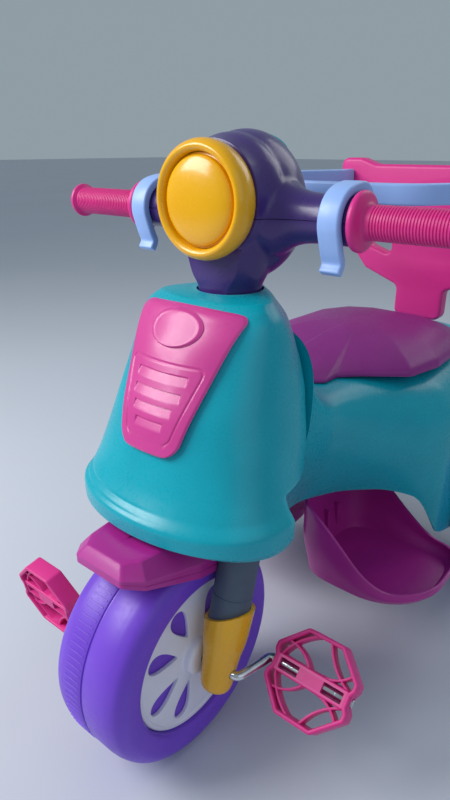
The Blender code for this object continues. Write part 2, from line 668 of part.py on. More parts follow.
def headlight():
    """Round bezel with a deep rounded rim and a domed lens inside it."""
    forward = Matrix.Rotation(math.pi / 2, 4, "X")
    back = (0, y_at(LIGHT_SETBACK + LIGHT_DEPTH), LIGHT_HEIGHT)
    depth = LIGHT_DEPTH
    turned("headlight_bezel", [(LENS_RADIUS + FIT, depth - 0.004), (LENS_RADIUS + 0.003, depth - 0.0005),
                               (LENS_RADIUS + 0.006, depth), (LIGHT_RADIUS - 0.0015, depth - 0.004),
                               (LIGHT_RADIUS, depth - 0.0085), (LIGHT_RADIUS - 0.0015, 0.002),
                               (LIGHT_RADIUS - 0.003, 0.0), (LENS_RADIUS + FIT, 0.0)],
           YELLOW, back, forward, steps=32)
    dome = [(0, depth + LENS_RISE)]
    for step in range(1, 6):
        share = step / 5
        dome.append(((LENS_RADIUS - 0.001) * math.sin(share * math.pi / 2),
                     depth - 0.006 + (LENS_RISE + 0.006) * math.cos(share * math.pi / 2)))
    turned("headlight_lens", dome + [(LENS_RADIUS, depth - 0.008), (LENS_RADIUS, FIT), (0, FIT)],
           YELLOW, back, forward, steps=32)


def handlebar():
    """Steel bar through the head with a ribbed grip and a hooked lever at each end."""
    centre = Vector((0, y_at(BAR_SETBACK), BAR_HEIGHT))
    cylinder("handlebar", BAR_RADIUS, 2 * BAR_HALF_LENGTH, STEEL, centre, ALONG_X, sides=20)
    bore = BAR_RADIUS + FIT
    start = STUB_END + FIT
    end = BAR_HALF_LENGTH + 0.003
    profile = [(0, end), (GRIP_END_RADIUS - 0.002, end), (GRIP_END_RADIUS, end - 0.002),
               (GRIP_END_RADIUS, end - 0.004), (GRIP_RADIUS, end - 0.007), (GRIP_RADIUS, start + 0.008),
               (GRIP_FLANGE_RADIUS - 0.001, start + 0.004), (GRIP_FLANGE_RADIUS, start + 0.0025),
               (GRIP_FLANGE_RADIUS, start), (bore, start), (bore, BAR_HALF_LENGTH + FIT),
               (0, BAR_HALF_LENGTH + FIT)]
    for side, label in ((1, "left"), (-1, "right")):
        turned(f"grip_{label}", profile, PINK, centre, Matrix.Rotation(side * math.pi / 2, 4, "Y"), steps=24)
        brake_lever(label, Vector((side * LEVER_CENTRE, centre.y, centre.z)))


def brake_lever(label, centre):
    """Strap that hooks over the stub arm from behind and hangs down in front of it."""
    inner = STUB_RADIUS + FIT
    outer = inner + LEVER_THICKNESS
    hook_from, hook_to = math.radians(14), math.radians(200)
    steps = 14
    arcs = []
    for inset in (0.0, LEVER_THICKNESS):
        arc = []
        for step in range(steps + 1):
            turn = hook_from + (hook_to - hook_from) * step / steps
            reach = outer * (1 + 0.30 * math.exp(-((turn - math.radians(42)) / math.radians(32)) ** 2))
            arc.append(((reach - inset) * math.cos(turn), (reach - inset) * math.sin(turn)))
        arcs.append(arc)
    tail_outer = [(-outer * 0.74, -0.024), (-outer * 0.62, -0.033), (-outer * 0.80, -0.041)]
    tail_inner = [(-inner * 0.60, -0.043), (-inner * 0.36, -0.034), (-inner * 0.62, -0.024)]
    outline = arcs[0] + tail_outer + tail_inner + list(reversed(arcs[1]))
    stand = Matrix.Rotation(math.pi / 2, 4, "Y") @ Matrix.Rotation(math.pi / 2, 4, "Z")
    plate(f"brake_lever_{label}", [outline], LEVER_WIDTH, SKY, centre, stand, bevel=0.0012)


head()
headlight()
handlebar()


# ---------------------------------------------------------------- body mouldings
# height, half width, front setback, setback of the widest point, back setback, fullness of the rear half
SHIELD_SECTIONS = [
    (SHIELD_BOTTOM, 0.1165, -0.046, 0.034, 0.1100, 1.00), (0.272, 0.1200, -0.050, 0.036, 0.1120, 1.00),
    (0.288, 0.1205, -0.050, 0.036, 0.1142, 1.00), (0.302, 0.1120, -0.040, 0.036, 0.1162, 0.80),
    (0.318, 0.1065, -0.031, 0.040, 0.1184, 0.55), (0.350, 0.0985, -0.019, 0.050, 0.1229, 0.42),
    (0.380, 0.0915, -0.010, 0.060, 0.1271, 0.42), (0.410, 0.0860, 0.004, 0.067, 0.1313, 0.62),
    (0.440, 0.0810, 0.019, 0.072, 0.1348, 1.30), (0.458, 0.0765, 0.031, 0.070, 0.1370, 1.90),
    (0.468, 0.0690, 0.038, 0.070, 0.1375, 2.50), (SHIELD_TOP, 0.0610, 0.048, 0.075, 0.1378, 3.00)]

# setback at the shield's bottom, half width, half width at the lower edge, lower edge, widest height, top
BODY_SECTIONS = [
    (SEAM_SETBACK + FIT, 0.084, 0.046, 0.212, 0.345, 0.440), (0.135, 0.080, 0.036, 0.204, 0.335, 0.392),
    (0.190, 0.074, 0.030, 0.202, 0.318, BODY_DECK), (0.240, 0.088, 0.050, 0.202, 0.295, BODY_DECK),
    (0.285, 0.114, 0.086, 0.200, 0.270, BODY_DECK), (0.325, 0.138, 0.124, 0.185, 0.255, BODY_DECK),
    (0.365, BODY_HALF_WIDTH, 0.147, 0.120, 0.250, BODY_DECK), (0.430, BODY_HALF_WIDTH, 0.147, 0.095, 0.250, BODY_DECK),
    (0.505, 0.148, 0.145, 0.072, 0.250, BODY_DECK), (0.565, 0.136, 0.132, 0.076, 0.245, BODY_DECK),
    (0.592, 0.115, 0.110, 0.095, 0.240, 0.345), (BODY_REAR, 0.090, 0.086, 0.120, 0.235, 0.318)]


def seam_at(height):
    """Setback of the joint between shield and rear body at a height."""
    return SEAM_SETBACK + SEAM_SLOPE * (height - SHIELD_BOTTOM)


def shield_outline(height, count=28):
    """Plan outline of the shield at a height, anticlockwise from the left side."""
    half_width, front, widest, back, fullness = blend_table(SHIELD_SECTIONS, height)
    back = min(back, seam_at(height)) - FIT
    outline = []
    for step in range(count):
        turn = 2 * math.pi * step / count
        c, s = math.cos(turn), math.sin(turn)
        if s > 0:
            x = half_width * math.copysign(abs(c) ** fullness, c)
            setback = widest + (back - widest) * min(1.0, 1.25 * abs(s))
        else:
            x = half_width * c
            setback = widest - (widest - front) * abs(s) ** 0.85
        rise = LIP_RISE * max(0.0, -s) if height == SHIELD_BOTTOM else 0.0
        outline.append((x, y_at(setback), height + rise))
    return outline


def shield_front(x, height):
    """World Y of the shield's facetted front surface."""
    outline = shield_outline(height)
    for (x0, y0, _), (x1, y1, _) in zip(outline, outline[1:] + outline[:1]):
        if x0 <= x <= x1 and x1 > x0:
            return y0 + (y1 - y0) * (x - x0) / (x1 - x0)
    return outline[0][1]


def front_shield():
    """Leg shield: a lip open to the rear for the fork, a closed flank, and a top with a hole for the neck."""
    rings = [shield_outline(row[0]) for row in SHIELD_SECTIONS]
    count = len(rings[0])
    hole = []
    for step in range(count):
        turn = 2 * math.pi * step / count
        hole.append((NECK_HOLE * math.cos(turn), y_at(NECK_SETBACK + NECK_HOLE * math.sin(turn)),
                     SHIELD_TOP + TOP_RISE))
    rings.append(hole)
    shield = loft("front_shield", rings, TEAL, caps=(False, False), wall=WALL)
    depth = 0.2
    height = FORK_WINDOW_TOP - SHIELD_BOTTOM + 0.05
    combine(shield, block("fork_window", (0.4, depth, height), None,
                          (0, y_at(FORK_WINDOW_FRONT + depth / 2), FORK_WINDOW_TOP - height / 2)))


def on_shield(name, finish, rows, clearance, thickness, columns):
    """Thin piece that follows the shield's front; rows are (height, half width)."""
    rings = []
    for height, half_width in rows:
        across = [half_width * (2 * k / columns - 1) for k in range(columns + 1)]
        outer = [(x, shield_front(x, height) - clearance - thickness, height) for x in across]
        inner = [(x, shield_front(x, height) - clearance, height) for x in reversed(across)]
        rings.append(outer + inner)
    return loft(name, rings, finish)


def shield_panel():
    """Tapered panel on the shield with rounded corners, and a round badge on it."""
    rows = []
    corner = 0.012
    heights = [PANEL_BOTTOM + corner * share for share in (0.0, 0.1, 0.3, 0.6, 1.0)]
    heights += [PANEL_TOP - corner * share for share in (0.0, 0.08, 0.25)]
    heights += [row[0] for row in SHIELD_SECTIONS if heights[4] < row[0] < PANEL_TOP - corner * 0.26]
    for height in sorted(heights):
        share = (height - PANEL_BOTTOM) / (PANEL_TOP - PANEL_BOTTOM)
        half_width = PANEL_BOTTOM_HALF_WIDTH + (PANEL_TOP_HALF_WIDTH - PANEL_BOTTOM_HALF_WIDTH) * share
        near_edge = max(0.0, corner - min(height - PANEL_BOTTOM, (PANEL_TOP - height) * 1.6))
        rows.append((height, half_width - corner + math.sqrt(corner ** 2 - near_edge ** 2)))
    on_shield("shield_panel", ROSE, rows, PANEL_GAP, PANEL_THICKNESS, 12)
    rows = []
    for step in range(9):
        turn = math.radians(-76 + 152 * step / 8)
        rows.append((BADGE_HEIGHT + BADGE_HALF_HEIGHT * math.sin(turn), BADGE_HALF_WIDTH * math.cos(turn)))
    on_shield("panel_badge", ROSE, rows, PANEL_THICKNESS + 1.6 * PANEL_GAP, BADGE_THICKNESS, 6)


def rear_body():
    """Saddle body: narrow between the knees, wide over the rear axle, open below."""
    rings = []
    for setback, half_width, low_width, low, widest, top in BODY_SECTIONS:
        lean = SEAM_SLOPE * max(0.0, 1 - (setback - SEAM_SETBACK) / 0.14)
        half = [(low_width, low), ((low_width + half_width * 2) / 3, (low + widest) / 2)]
        for step in range(10):
            turn = math.pi / 2 * step / 9
            half.append((half_width * math.cos(turn) ** 0.62, widest + (top - widest) * math.sin(turn) ** 0.62))
        outline = half + [(-x, z) for x, z in reversed(half[:-1])]
        rings.append([(x, y_at(setback + lean * (z - SHIELD_BOTTOM)), z) for x, z in outline])
    body = loft("rear_body", rings, TEAL, closed=False, wall=WALL)
    combine(body, cylinder("axle_bore", REAR_AXLE_RADIUS + FIT, 0.6, None, REAR_AXLE, ALONG_X))


def seat():
    """Saddle with a narrow nose, a step and a broad rear."""
    half = [(0.018, SEAT_FRONT), (SEAT_NOSE_HALF_WIDTH, SEAT_FRONT + 0.020), (SEAT_NOSE_HALF_WIDTH + 0.001, SEAT_STEP - 0.012),
            (SEAT_NOSE_HALF_WIDTH + 0.020, SEAT_STEP + 0.008), (SEAT_HALF_WIDTH - 0.012, SEAT_STEP + 0.045),
            (SEAT_HALF_WIDTH, SEAT_STEP + 0.100), (SEAT_HALF_WIDTH - 0.004, SEAT_REAR - 0.070),
            (SEAT_HALF_WIDTH - 0.030, SEAT_REAR - 0.022), (0.045, SEAT_REAR)]
    outline = round_outline(mirrored(half), 0.009, 2)
    rows = []
    base = BODY_DECK + FIT
    for inset, rise in ((0.0, 0.0), (0.0, 0.16), (0.04, 0.34), (0.13, 0.56), (0.28, 0.76), (0.48, 0.91), (0.74, 1.0)):
        ring = []
        for x, setback in outline:
            slope = 0.30 + 0.70 * smooth_step((setback - SEAT_FRONT) / 0.16)
            pull = (SEAT_FRONT + 0.58 * (SEAT_REAR - SEAT_FRONT) - setback) * inset
            ring.append((x * (1 - inset), y_at(setback + pull), base + SEAT_CROWN * slope * rise))
        rows.append(ring)
    loft("seat", rows, PLUM, smooth=50)


def backrest():
    """Open frame on a stem with a thick top bar and a solid middle panel."""
    low = BODY_DECK - 0.002
    half = [(STEM_HALF_WIDTH, low + 0.0025), (STEM_HALF_WIDTH, BACKREST_LOW), (0.095, BACKREST_LOW + 0.022),
            (BACKREST_HALF_WIDTH - 0.014, BACKREST_LOW + 0.070), (BACKREST_HALF_WIDTH, 0.535),
            (BACKREST_HALF_WIDTH, BACKREST_TOP), (BACKREST_HALF_WIDTH - 0.034, BACKREST_TOP),
            (BACKREST_HALF_WIDTH - 0.060, BACKREST_TOP - 0.009)]
    outer = round_outline(mirrored(half), 0.011, 2)
    window = [(0.052, BACKREST_LOW + 0.046), (0.088, BACKREST_LOW + 0.058), (0.116, BACKREST_LOW + 0.094),
              (0.118, 0.533), (0.058, 0.533)]
    left = round_outline(window, 0.008, 2)
    right = [(-x, z) for x, z in left]
    upright = Matrix.Rotation(math.pi / 2, 4, "X")
    middle = (0, y_at(BACKREST_SETBACK + BACKREST_THICKNESS / 2), 0)
    plate("backrest", [outer, left, right], BACKREST_THICKNESS, PINK, middle, upright)


def safety_ring():
    """Band around the child's waist, from one end of the backrest's top bar to the other."""
    end = BACKREST_SETBACK - FIT
    half = [(BACKREST_HALF_WIDTH - 0.018, end), (BACKREST_HALF_WIDTH - 0.016, end - 0.030),
            (RING_HALF_WIDTH, end - 0.150), (RING_HALF_WIDTH, RING_FRONT + 0.090),
            (RING_HALF_WIDTH - 0.050, RING_FRONT + 0.012), (0.060, RING_FRONT)]
    corners = [(-x, s, 0) for x, s in half] + [(x, s, 0) for x, s in reversed(half)]
    route = rounded_path(corners, 0.045, 3)
    tall, deep, soft = RING_BAND / 2, RING_THICKNESS / 2, 0.002
    section = [(deep, tall - soft), (deep - soft, tall), (soft - deep, tall), (-deep, tall - soft),
               (-deep, soft - tall), (soft - deep, -tall), (deep - soft, -tall), (deep, soft - tall)]
    rings = []
    for before, here, after in zip([route[0]] + route, route, route[1:] + [route[-1]]):
        ahead = (after - before).normalized()
        across = Vector((ahead.y, -ahead.x, 0))
        if here in (route[0], route[-1]):
            across = Vector((math.copysign(1, across.x), 0, 0))
        rings.append([(here.x + across.x * d, y_at(here.y + across.y * d), RING_HEIGHT + h) for d, h in section])
    loft("safety_ring", rings, SKY)


def footrest(label, side):
    """Scooped step beside the body; its rim falls from the inside to the outside."""
    count = 32
    levels = ((0.00, 0.90), (0.35, 0.98), (1.0, 1.0))
    outer_rows, inner_rows = [], []
    half_width, half_length = (FOOT_OUTER - FOOT_INNER) / 2, (FOOT_REAR - FOOT_FRONT) / 2
    for rise, scale in levels:
        outer_rows.append([])
        inner_rows.append([])
        for step in range(count):
            turn = 2 * math.pi * step / count
            c, s = math.cos(turn), math.sin(turn)
            power = 1.0 if c > 0 > s else 0.45
            ux = math.copysign(abs(c) ** power, c)
            uy = math.copysign(abs(s) ** power, s)
            rim = FOOT_OUTER_RIM + (FOOT_INNER_RIM - FOOT_OUTER_RIM) * smooth_step((0.62 - ux) / 1.5)
            for rows, trim, floor in ((outer_rows, 0.0, 0.0), (inner_rows, WALL, WALL)):
                x = (FOOT_INNER + FOOT_OUTER) / 2 + (half_width * scale - trim) * ux
                setback = (FOOT_FRONT + FOOT_REAR) / 2 + (half_length * scale - trim) * uy
                low = FOOT_BOTTOM + floor
                rows[-1].append((side * x, y_at(setback), low + (rim - low) * rise))
    loft(f"footrest_{label}", outer_rows + list(reversed(inner_rows)), MAGENTA)


def steering_tube():
    """Tube inside the body that carries the column in a bush at each end."""
    inner = COLUMN_RADIUS + FIT
    radius = BUSH_RADIUS + 0.003
    seat_radius = BUSH_RADIUS + FIT
    passage = COLUMN_RADIUS + 0.002
    turned("steering_tube", [(seat_radius, TUBE_TOP), (TUBE_FLANGE_RADIUS, TUBE_TOP),
                             (TUBE_FLANGE_RADIUS, TUBE_TOP - 0.005), (radius, TUBE_TOP - 0.008),
                             (radius, TUBE_BOTTOM), (seat_radius, TUBE_BOTTOM),
                             (seat_radius, TUBE_BOTTOM + BUSH_LENGTH), (passage, TUBE_BOTTOM + BUSH_LENGTH),
                             (passage, TUBE_TOP - BUSH_LENGTH), (seat_radius, TUBE_TOP - BUSH_LENGTH)],
           GREY, FRONT_AXLE, LEAN, steps=20)
    for label, low in (("lower", TUBE_BOTTOM - 0.002), ("upper", TUBE_TOP - BUSH_LENGTH + FIT)):
        high = low + BUSH_LENGTH + 0.002 - 2 * FIT
        turned(f"steering_bush_{label}", [(inner, high), (BUSH_RADIUS, high), (BUSH_RADIUS, low), (inner, low)],
               WHITE, FRONT_AXLE, LEAN, steps=20)


def rear_axle():
    """Steel axle through the body with a push-on cap outside each wheel."""
    half = REAR_WHEEL_OFFSET + REAR_BOSS_END + 0.004
    cylinder("rear_axle", REAR_AXLE_RADIUS, 2 * half, STEEL, REAR_AXLE, ALONG_X, sides=20)
    start = REAR_WHEEL_OFFSET + REAR_BOSS_END + RUNNING_FIT
    bore = REAR_AXLE_RADIUS + FIT
    for side, label in ((1, "left"), (-1, "right")):
        turned(f"axle_cap_{label}", [(0, start + 0.0075), (AXLE_CAP_RADIUS * 0.6, start + 0.0068),
                                     (AXLE_CAP_RADIUS, start + 0.003), (AXLE_CAP_RADIUS, start), (bore, start),
                                     (bore, half + FIT), (0, half + FIT)],
               WHITE, REAR_AXLE, Matrix.Rotation(side * math.pi / 2, 4, "Y"), steps=20)


front_shield()
shield_panel()
rear_body()
seat()
backrest()
safety_ring()
for side, label in ((1, "left"), (-1, "right")):
    footrest(label, side)
steering_tube()
rear_axle()


# ---------------------------------------------------------------- moving bodies
def pivot(name, location, rotation, names, parent=None):
    """An empty on a joint's axis that carries its pieces."""
    empty = bpy.data.objects.new(name, None)
    parts.objects.link(empty)
    empty.location = location
    if rotation is not None:
        empty.rotation_euler = rotation.to_euler()
    if parent:
        bpy.context.view_layer.update()
        empty.parent = parent
        empty.matrix_parent_inverse = parent.matrix_world.inverted()
    bpy.context.view_layer.update()
    for child in names:
        obj = bpy.data.objects[child]
        obj.parent = empty
        obj.matrix_parent_inverse = empty.matrix_world.inverted()
    return empty


def both(*stems):
    """The names of the left and right piece of each stem."""
    return [f"{stem}_{label}" for stem in stems for label in ("left", "right")]


steering = pivot("steering_axis", FRONT_AXLE, LEAN,
                 ["fork_crown", "steering_column", "mudguard", "head_lower", "head_upper", "head_cap",
                  "headlight_bezel", "headlight_lens", "handlebar"]
                 + both("fork_leg", "fork_sleeve", "grip", "brake_lever"))
wheel_axis = pivot("front_wheel_axis", FRONT_AXLE, None,
                   ["front_tyre", "crank_axle"] + both("front_disc", "pedal_washer"), steering)
for side, label in ((1, "left"), (-1, "right")):
    pivot(f"pedal_axis_{label}", FRONT_AXLE + Vector((side * PEDAL_CENTRE, 0, 0)) + side * CRANK_ARM, None,
          [f"pedal_{label}"], wheel_axis)
    pivot(f"rear_wheel_axis_{label}", REAR_AXLE + Vector((side * REAR_WHEEL_OFFSET, 0, 0)), None,
          [f"rear_tyre_{label}", f"rear_disc_{label}_outer", f"rear_disc_{label}_inner"])
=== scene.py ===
"""Looks of a children's pedal tricycle with a scooter-style moulded body.

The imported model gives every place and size; the classes below model each sub-assembly around it.
The front of the tricycle faces -Y, +X is the rider's left and +Z is up.  Lengths are in metres.
"""
import logging
import math
from dataclasses import dataclass, field
from enum import Enum
from typing import Iterable, Sequence

import bpy
from mathutils import Matrix, Vector


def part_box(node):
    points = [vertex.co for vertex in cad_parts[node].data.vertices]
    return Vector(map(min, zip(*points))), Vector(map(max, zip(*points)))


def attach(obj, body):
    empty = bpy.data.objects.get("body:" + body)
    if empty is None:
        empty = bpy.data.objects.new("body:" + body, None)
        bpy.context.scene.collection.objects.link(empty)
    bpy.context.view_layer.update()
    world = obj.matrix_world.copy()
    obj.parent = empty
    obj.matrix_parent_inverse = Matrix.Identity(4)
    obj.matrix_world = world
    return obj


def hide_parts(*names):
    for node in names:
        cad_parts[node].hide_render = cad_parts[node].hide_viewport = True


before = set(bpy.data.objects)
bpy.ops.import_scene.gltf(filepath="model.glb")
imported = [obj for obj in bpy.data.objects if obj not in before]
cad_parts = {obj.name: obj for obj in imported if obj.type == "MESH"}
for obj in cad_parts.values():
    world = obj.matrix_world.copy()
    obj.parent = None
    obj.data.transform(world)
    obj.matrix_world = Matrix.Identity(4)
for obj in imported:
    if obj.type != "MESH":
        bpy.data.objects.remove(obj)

LOG = logging.getLogger("tricycle")
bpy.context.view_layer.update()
MILLIMETRE = 0.001
ALONG_X = Matrix.Rotation(math.pi / 2, 4, "Y")
FORWARD = Matrix.Rotation(math.pi / 2, 4, "X")
Point = tuple[float, float]


# ---------------------------------------------------------------- shader helpers
def srgb(code: str) -> tuple[float, float, float, float]:
    """Turn an sRGB hex colour into linear RGBA.

    Args:
        code: Colour such as "#12A5B5".

    Returns:
        Linear red, green, blue and an alpha of one.
    """
    channels = [int(code[i:i + 2], 16) / 255 for i in (1, 3, 5)]
    linear = [c / 12.92 if c <= 0.04045 else ((c + 0.055) / 1.055) ** 2.4 for c in channels]
    return (*linear, 1.0)


def per_metre(millimetres: float) -> float:
    """Texture scale that repeats once in the given real size."""
    return 1 / (millimetres * MILLIMETRE)


def add_node(tree: bpy.types.NodeTree, kind: str, inputs: dict | None = None, **settings) -> bpy.types.Node:
    """Add a shader node with its settings, values and links.

    Args:
        tree: Node tree that receives the node.
        kind: Node type, such as "ShaderNodeTexNoise".
        inputs: Input name or number, to a value or to the output socket that drives it.
        **settings: Attributes of the node itself.

    Returns:
        The new node.
    """
    made = tree.nodes.new(kind)
    for key, value in settings.items():
        setattr(made, key, value)
    for key, value in (inputs or {}).items():
        if isinstance(value, bpy.types.NodeSocket):
            tree.links.new(value, made.inputs[key])
        else:
            made.inputs[key].default_value = value
    return made


def new_tree(name: str) -> tuple[bpy.types.Material, bpy.types.NodeTree, bpy.types.Node]:
    """Start a node material and return it with its tree and its Principled shader.

    Args:
        name: Name of the material.

    Returns:
        The material, its node tree and its shader.
    """
    made = bpy.data.materials.new(name)
    made.use_nodes = True
    return made, made.node_tree, made.node_tree.nodes["Principled BSDF"]


@dataclass(frozen=True)
class MouldedPlastic:
    """Polyethylene or polypropylene from a mould: even colour, soft gloss and the mould's fine texture.

    Attributes:
        name: Material name, after the plastic and the way it was moulded.
        slot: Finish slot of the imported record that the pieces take.
        colour: Colour of the flat areas.
        flow: Colour of the faint clouds left where the melt flowed.
        worn: Colour of rubbed edges.
        roughness: Middle roughness.
        grain_mm: Spacing of the mould's texture.
        grain_depth_mm: Depth of that texture.
        coat: Weight of the skin that polished moulds leave.
        cloud_mm: Size of the flow clouds.
    """

    name: str
    slot: str
    colour: str
    flow: str
    worn: str
    roughness: float = 0.34
    grain_mm: float = 1.1
    grain_depth_mm: float = 0.05
    coat: float = 0.0
    cloud_mm: float = 45.0

    def make(self) -> bpy.types.Material:
        """Build the material.

        Returns:
            A material with flow clouds, mould texture, fine scuffs and worn edges.
        """
        made, tree, shader = new_tree(self.name)
        place = add_node(tree, "ShaderNodeTexCoord").outputs["Object"]
        cloud = add_node(tree, "ShaderNodeTexNoise", {"Vector": place, "Scale": per_metre(self.cloud_mm),
                                                      "Detail": 3.0, "Roughness": 0.45})
        clouds = add_node(tree, "ShaderNodeMapRange", {"Value": cloud.outputs["Fac"], "From Min": 0.38,
                                                       "From Max": 0.68, "To Min": 0.0, "To Max": 0.35})
        base = add_node(tree, "ShaderNodeMix", {"Factor": clouds.outputs[0], 6: srgb(self.colour),
                                                7: srgb(self.flow)}, data_type="RGBA")
        edge = add_node(tree, "ShaderNodeNewGeometry").outputs["Pointiness"]
        rubbed = add_node(tree, "ShaderNodeMapRange", {"Value": edge, "From Min": 0.53, "From Max": 0.66,
                                                       "To Min": 0.0, "To Max": 0.32})
        tint = add_node(tree, "ShaderNodeMix", {"Factor": rubbed.outputs[0], 6: base.outputs[2],
                                                7: srgb(self.worn)}, data_type="RGBA")
        tree.links.new(tint.outputs[2], shader.inputs["Base Color"])
        scuff = add_node(tree, "ShaderNodeTexNoise", {"Vector": place, "Scale": per_metre(9), "Detail": 6.0,
                                                      "Roughness": 0.7, "Distortion": 1.4})
        rough = add_node(tree, "ShaderNodeMapRange", {"Value": scuff.outputs["Fac"], "From Min": 0.35,
                                                      "From Max": 0.72, "To Min": self.roughness - 0.04,
                                                      "To Max": self.roughness + 0.10})
        tree.links.new(rough.outputs[0], shader.inputs["Roughness"])
        grain = add_node(tree, "ShaderNodeTexNoise", {"Vector": place, "Scale": per_metre(self.grain_mm),
                                                      "Detail": 2.0, "Roughness": 0.5})
        swell = add_node(tree, "ShaderNodeTexNoise", {"Vector": place, "Scale": per_metre(28), "Detail": 1.0})
        soft = add_node(tree, "ShaderNodeBump", {"Height": swell.outputs["Fac"], "Strength": 0.12,
                                                 "Distance": 0.6 * MILLIMETRE})
        bump = add_node(tree, "ShaderNodeBump", {"Height": grain.outputs["Fac"], "Strength": 0.3,
                                                 "Distance": self.grain_depth_mm * MILLIMETRE,
                                                 "Normal": soft.outputs["Normal"]})
        tree.links.new(bump.outputs["Normal"], shader.inputs["Normal"])
        shader.inputs["IOR"].default_value = 1.5
        shader.inputs["Specular IOR Level"].default_value = 0.4
        shader.inputs["Coat Weight"].default_value = self.coat
        shader.inputs["Coat Roughness"].default_value = 0.12
        return made


@dataclass(frozen=True)
class PlatedSteel:
    """Drawn steel rod, bright plated: a mirror broken by faint lines along the draw.

    Attributes:
        name: Material name.
        slot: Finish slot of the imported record.
        colour: Colour of the plating.
        dull: Colour where handling has dulled it.
        line_mm: Spacing of the draw lines.
    """

    name: str
    slot: str
    colour: str
    dull: str
    line_mm: float = 0.5

    def make(self) -> bpy.types.Material:
        """Build the material.

        Returns:
            A metal with draw lines and dulled patches.
        """
        made, tree, shader = new_tree(self.name)
        place = add_node(tree, "ShaderNodeTexCoord").outputs["Object"]
        stretched = add_node(tree, "ShaderNodeMapping", {"Vector": place, "Scale": (0.03, 1.0, 1.0)})
        lines = add_node(tree, "ShaderNodeTexNoise", {"Vector": stretched.outputs[0], "Detail": 3.0,
                                                      "Scale": per_metre(self.line_mm)})
        patch = add_node(tree, "ShaderNodeTexNoise", {"Vector": place, "Scale": per_metre(12), "Detail": 4.0})
        share = add_node(tree, "ShaderNodeMapRange", {"Value": patch.outputs["Fac"], "From Min": 0.4,
                                                      "From Max": 0.7, "To Min": 0.0, "To Max": 0.6})
        tint = add_node(tree, "ShaderNodeMix", {"Factor": share.outputs[0], 6: srgb(self.colour),
                                                7: srgb(self.dull)}, data_type="RGBA")
        tree.links.new(tint.outputs[2], shader.inputs["Base Color"])
        rough = add_node(tree, "ShaderNodeMapRange", {"Value": lines.outputs["Fac"], "To Min": 0.10,
                                                      "To Max": 0.30})
        tree.links.new(rough.outputs[0], shader.inputs["Roughness"])
        bump = add_node(tree, "ShaderNodeBump", {"Height": lines.outputs["Fac"], "Strength": 0.3,
                                                 "Distance": 0.02 * MILLIMETRE})
        tree.links.new(bump.outputs["Normal"], shader.inputs["Normal"])
        shader.inputs["Metallic"].default_value = 1.0
        return made


@dataclass(frozen=True)
class PaleSheet:
    """Matt pale floor covering with faint clouding."""

    name: str
    colour: str
    cloud: str

    def make(self) -> bpy.types.Material:
        """Build the material."""
        made, tree, shader = new_tree(self.name)
        place = add_node(tree, "ShaderNodeTexCoord").outputs["Object"]
        noise = add_node(tree, "ShaderNodeTexNoise", {"Vector": place, "Scale": per_metre(900),
                                                      "Detail": 2.0})
        tint = add_node(tree, "ShaderNodeMix", {"Factor": noise.outputs["Fac"], 6: srgb(self.colour),
                                                7: srgb(self.cloud)}, data_type="RGBA")
        tree.links.new(tint.outputs[2], shader.inputs["Base Color"])
        shader.inputs["Roughness"].default_value = 0.6
        return made


class Finish(Enum):
    """Every finish of the tricycle."""

    # Blow-moulded polyethylene shells: satin, a little waxy, broad soft highlights.
    TEAL = MouldedPlastic("blow_moulded_polyethylene_teal", "teal_body", "#04A3B5", "#0394A6", "#48C4D0",
                          0.28)
    # Injection-moulded polypropylene cover, glossier than the shell under it.
    ROSE = MouldedPlastic("injection_moulded_polypropylene_rose", "rose_panel", "#CC3E90", "#C03484",
                          "#E884BE",
                          0.32, grain_mm=0.9, coat=0.15)
    PINK = MouldedPlastic("injection_moulded_polypropylene_pink", "pink_parts", "#DA2D87", "#CC257C",
                          "#F278B0",
                          0.40, grain_mm=0.9)
    MAGENTA = MouldedPlastic("injection_moulded_polypropylene_magenta", "magenta_parts", "#B0268E", "#A01E80",
                             "#CE60B6", 0.34, coat=0.1)
    # Saddle: polyethylene with a leather-like grain, so that a child doesn't slide.
    PLUM = MouldedPlastic("grained_polyethylene_plum", "seat", "#8C2280", "#7E1B74", "#AE58A0", 0.40,
                          grain_mm=1.6,
                          grain_depth_mm=0.16)
    # Head: dark polypropylene from a polished mould.
    DARK_VIOLET = MouldedPlastic("injection_moulded_polypropylene_dark_violet", "violet_head", "#402870",
                                 "#382262",
                                 "#7A60AE", 0.30, coat=0.2)
    VIOLET = MouldedPlastic("blow_moulded_polyethylene_violet", "violet_tyre", "#7444CC", "#683AC0",
                            "#A084E4", 0.38)
    # Headlight and fork sleeves: yellow polypropylene with a polished skin.
    YELLOW = MouldedPlastic("polished_polypropylene_yellow", "yellow_parts", "#EBAD00", "#E09E00", "#FFD858",
                            0.24,
                            grain_mm=2.0, grain_depth_mm=0.02, coat=0.35)
    SKY = MouldedPlastic("injection_moulded_polypropylene_sky", "sky_parts", "#98B8F0", "#8CACE6", "#D2E2FA",
                         0.36)
    WHITE = MouldedPlastic("injection_moulded_polypropylene_white", "white_parts", "#E4E3F0", "#D6D4E4",
                           "#F4F2F8",
                           0.34)
    # Fork: glass-filled nylon, matt and slightly mottled.
    GREY = MouldedPlastic("glass_filled_nylon_grey", "grey_parts", "#4A586A", "#404C5C", "#77869A", 0.52,
                          grain_mm=0.7, cloud_mm=14.0)
    STEEL = PlatedSteel("bright_plated_drawn_steel", "steel", "#D2D5D8", "#A9AEB4")


MADE: dict[Finish, bpy.types.Material] = {}


def material_of(finish: Finish) -> bpy.types.Material:
    """The material of a finish, built on first use."""
    if finish not in MADE:
        MADE[finish] = finish.value.make()
    return MADE[finish]


# ---------------------------------------------------------------- modelling helpers
def deselect() -> None:
    """Leave edit mode and drop the selection."""
    if bpy.context.object and bpy.context.object.mode != "OBJECT":
        bpy.ops.object.mode_set(mode="OBJECT")
    bpy.ops.object.select_all(action="DESELECT")


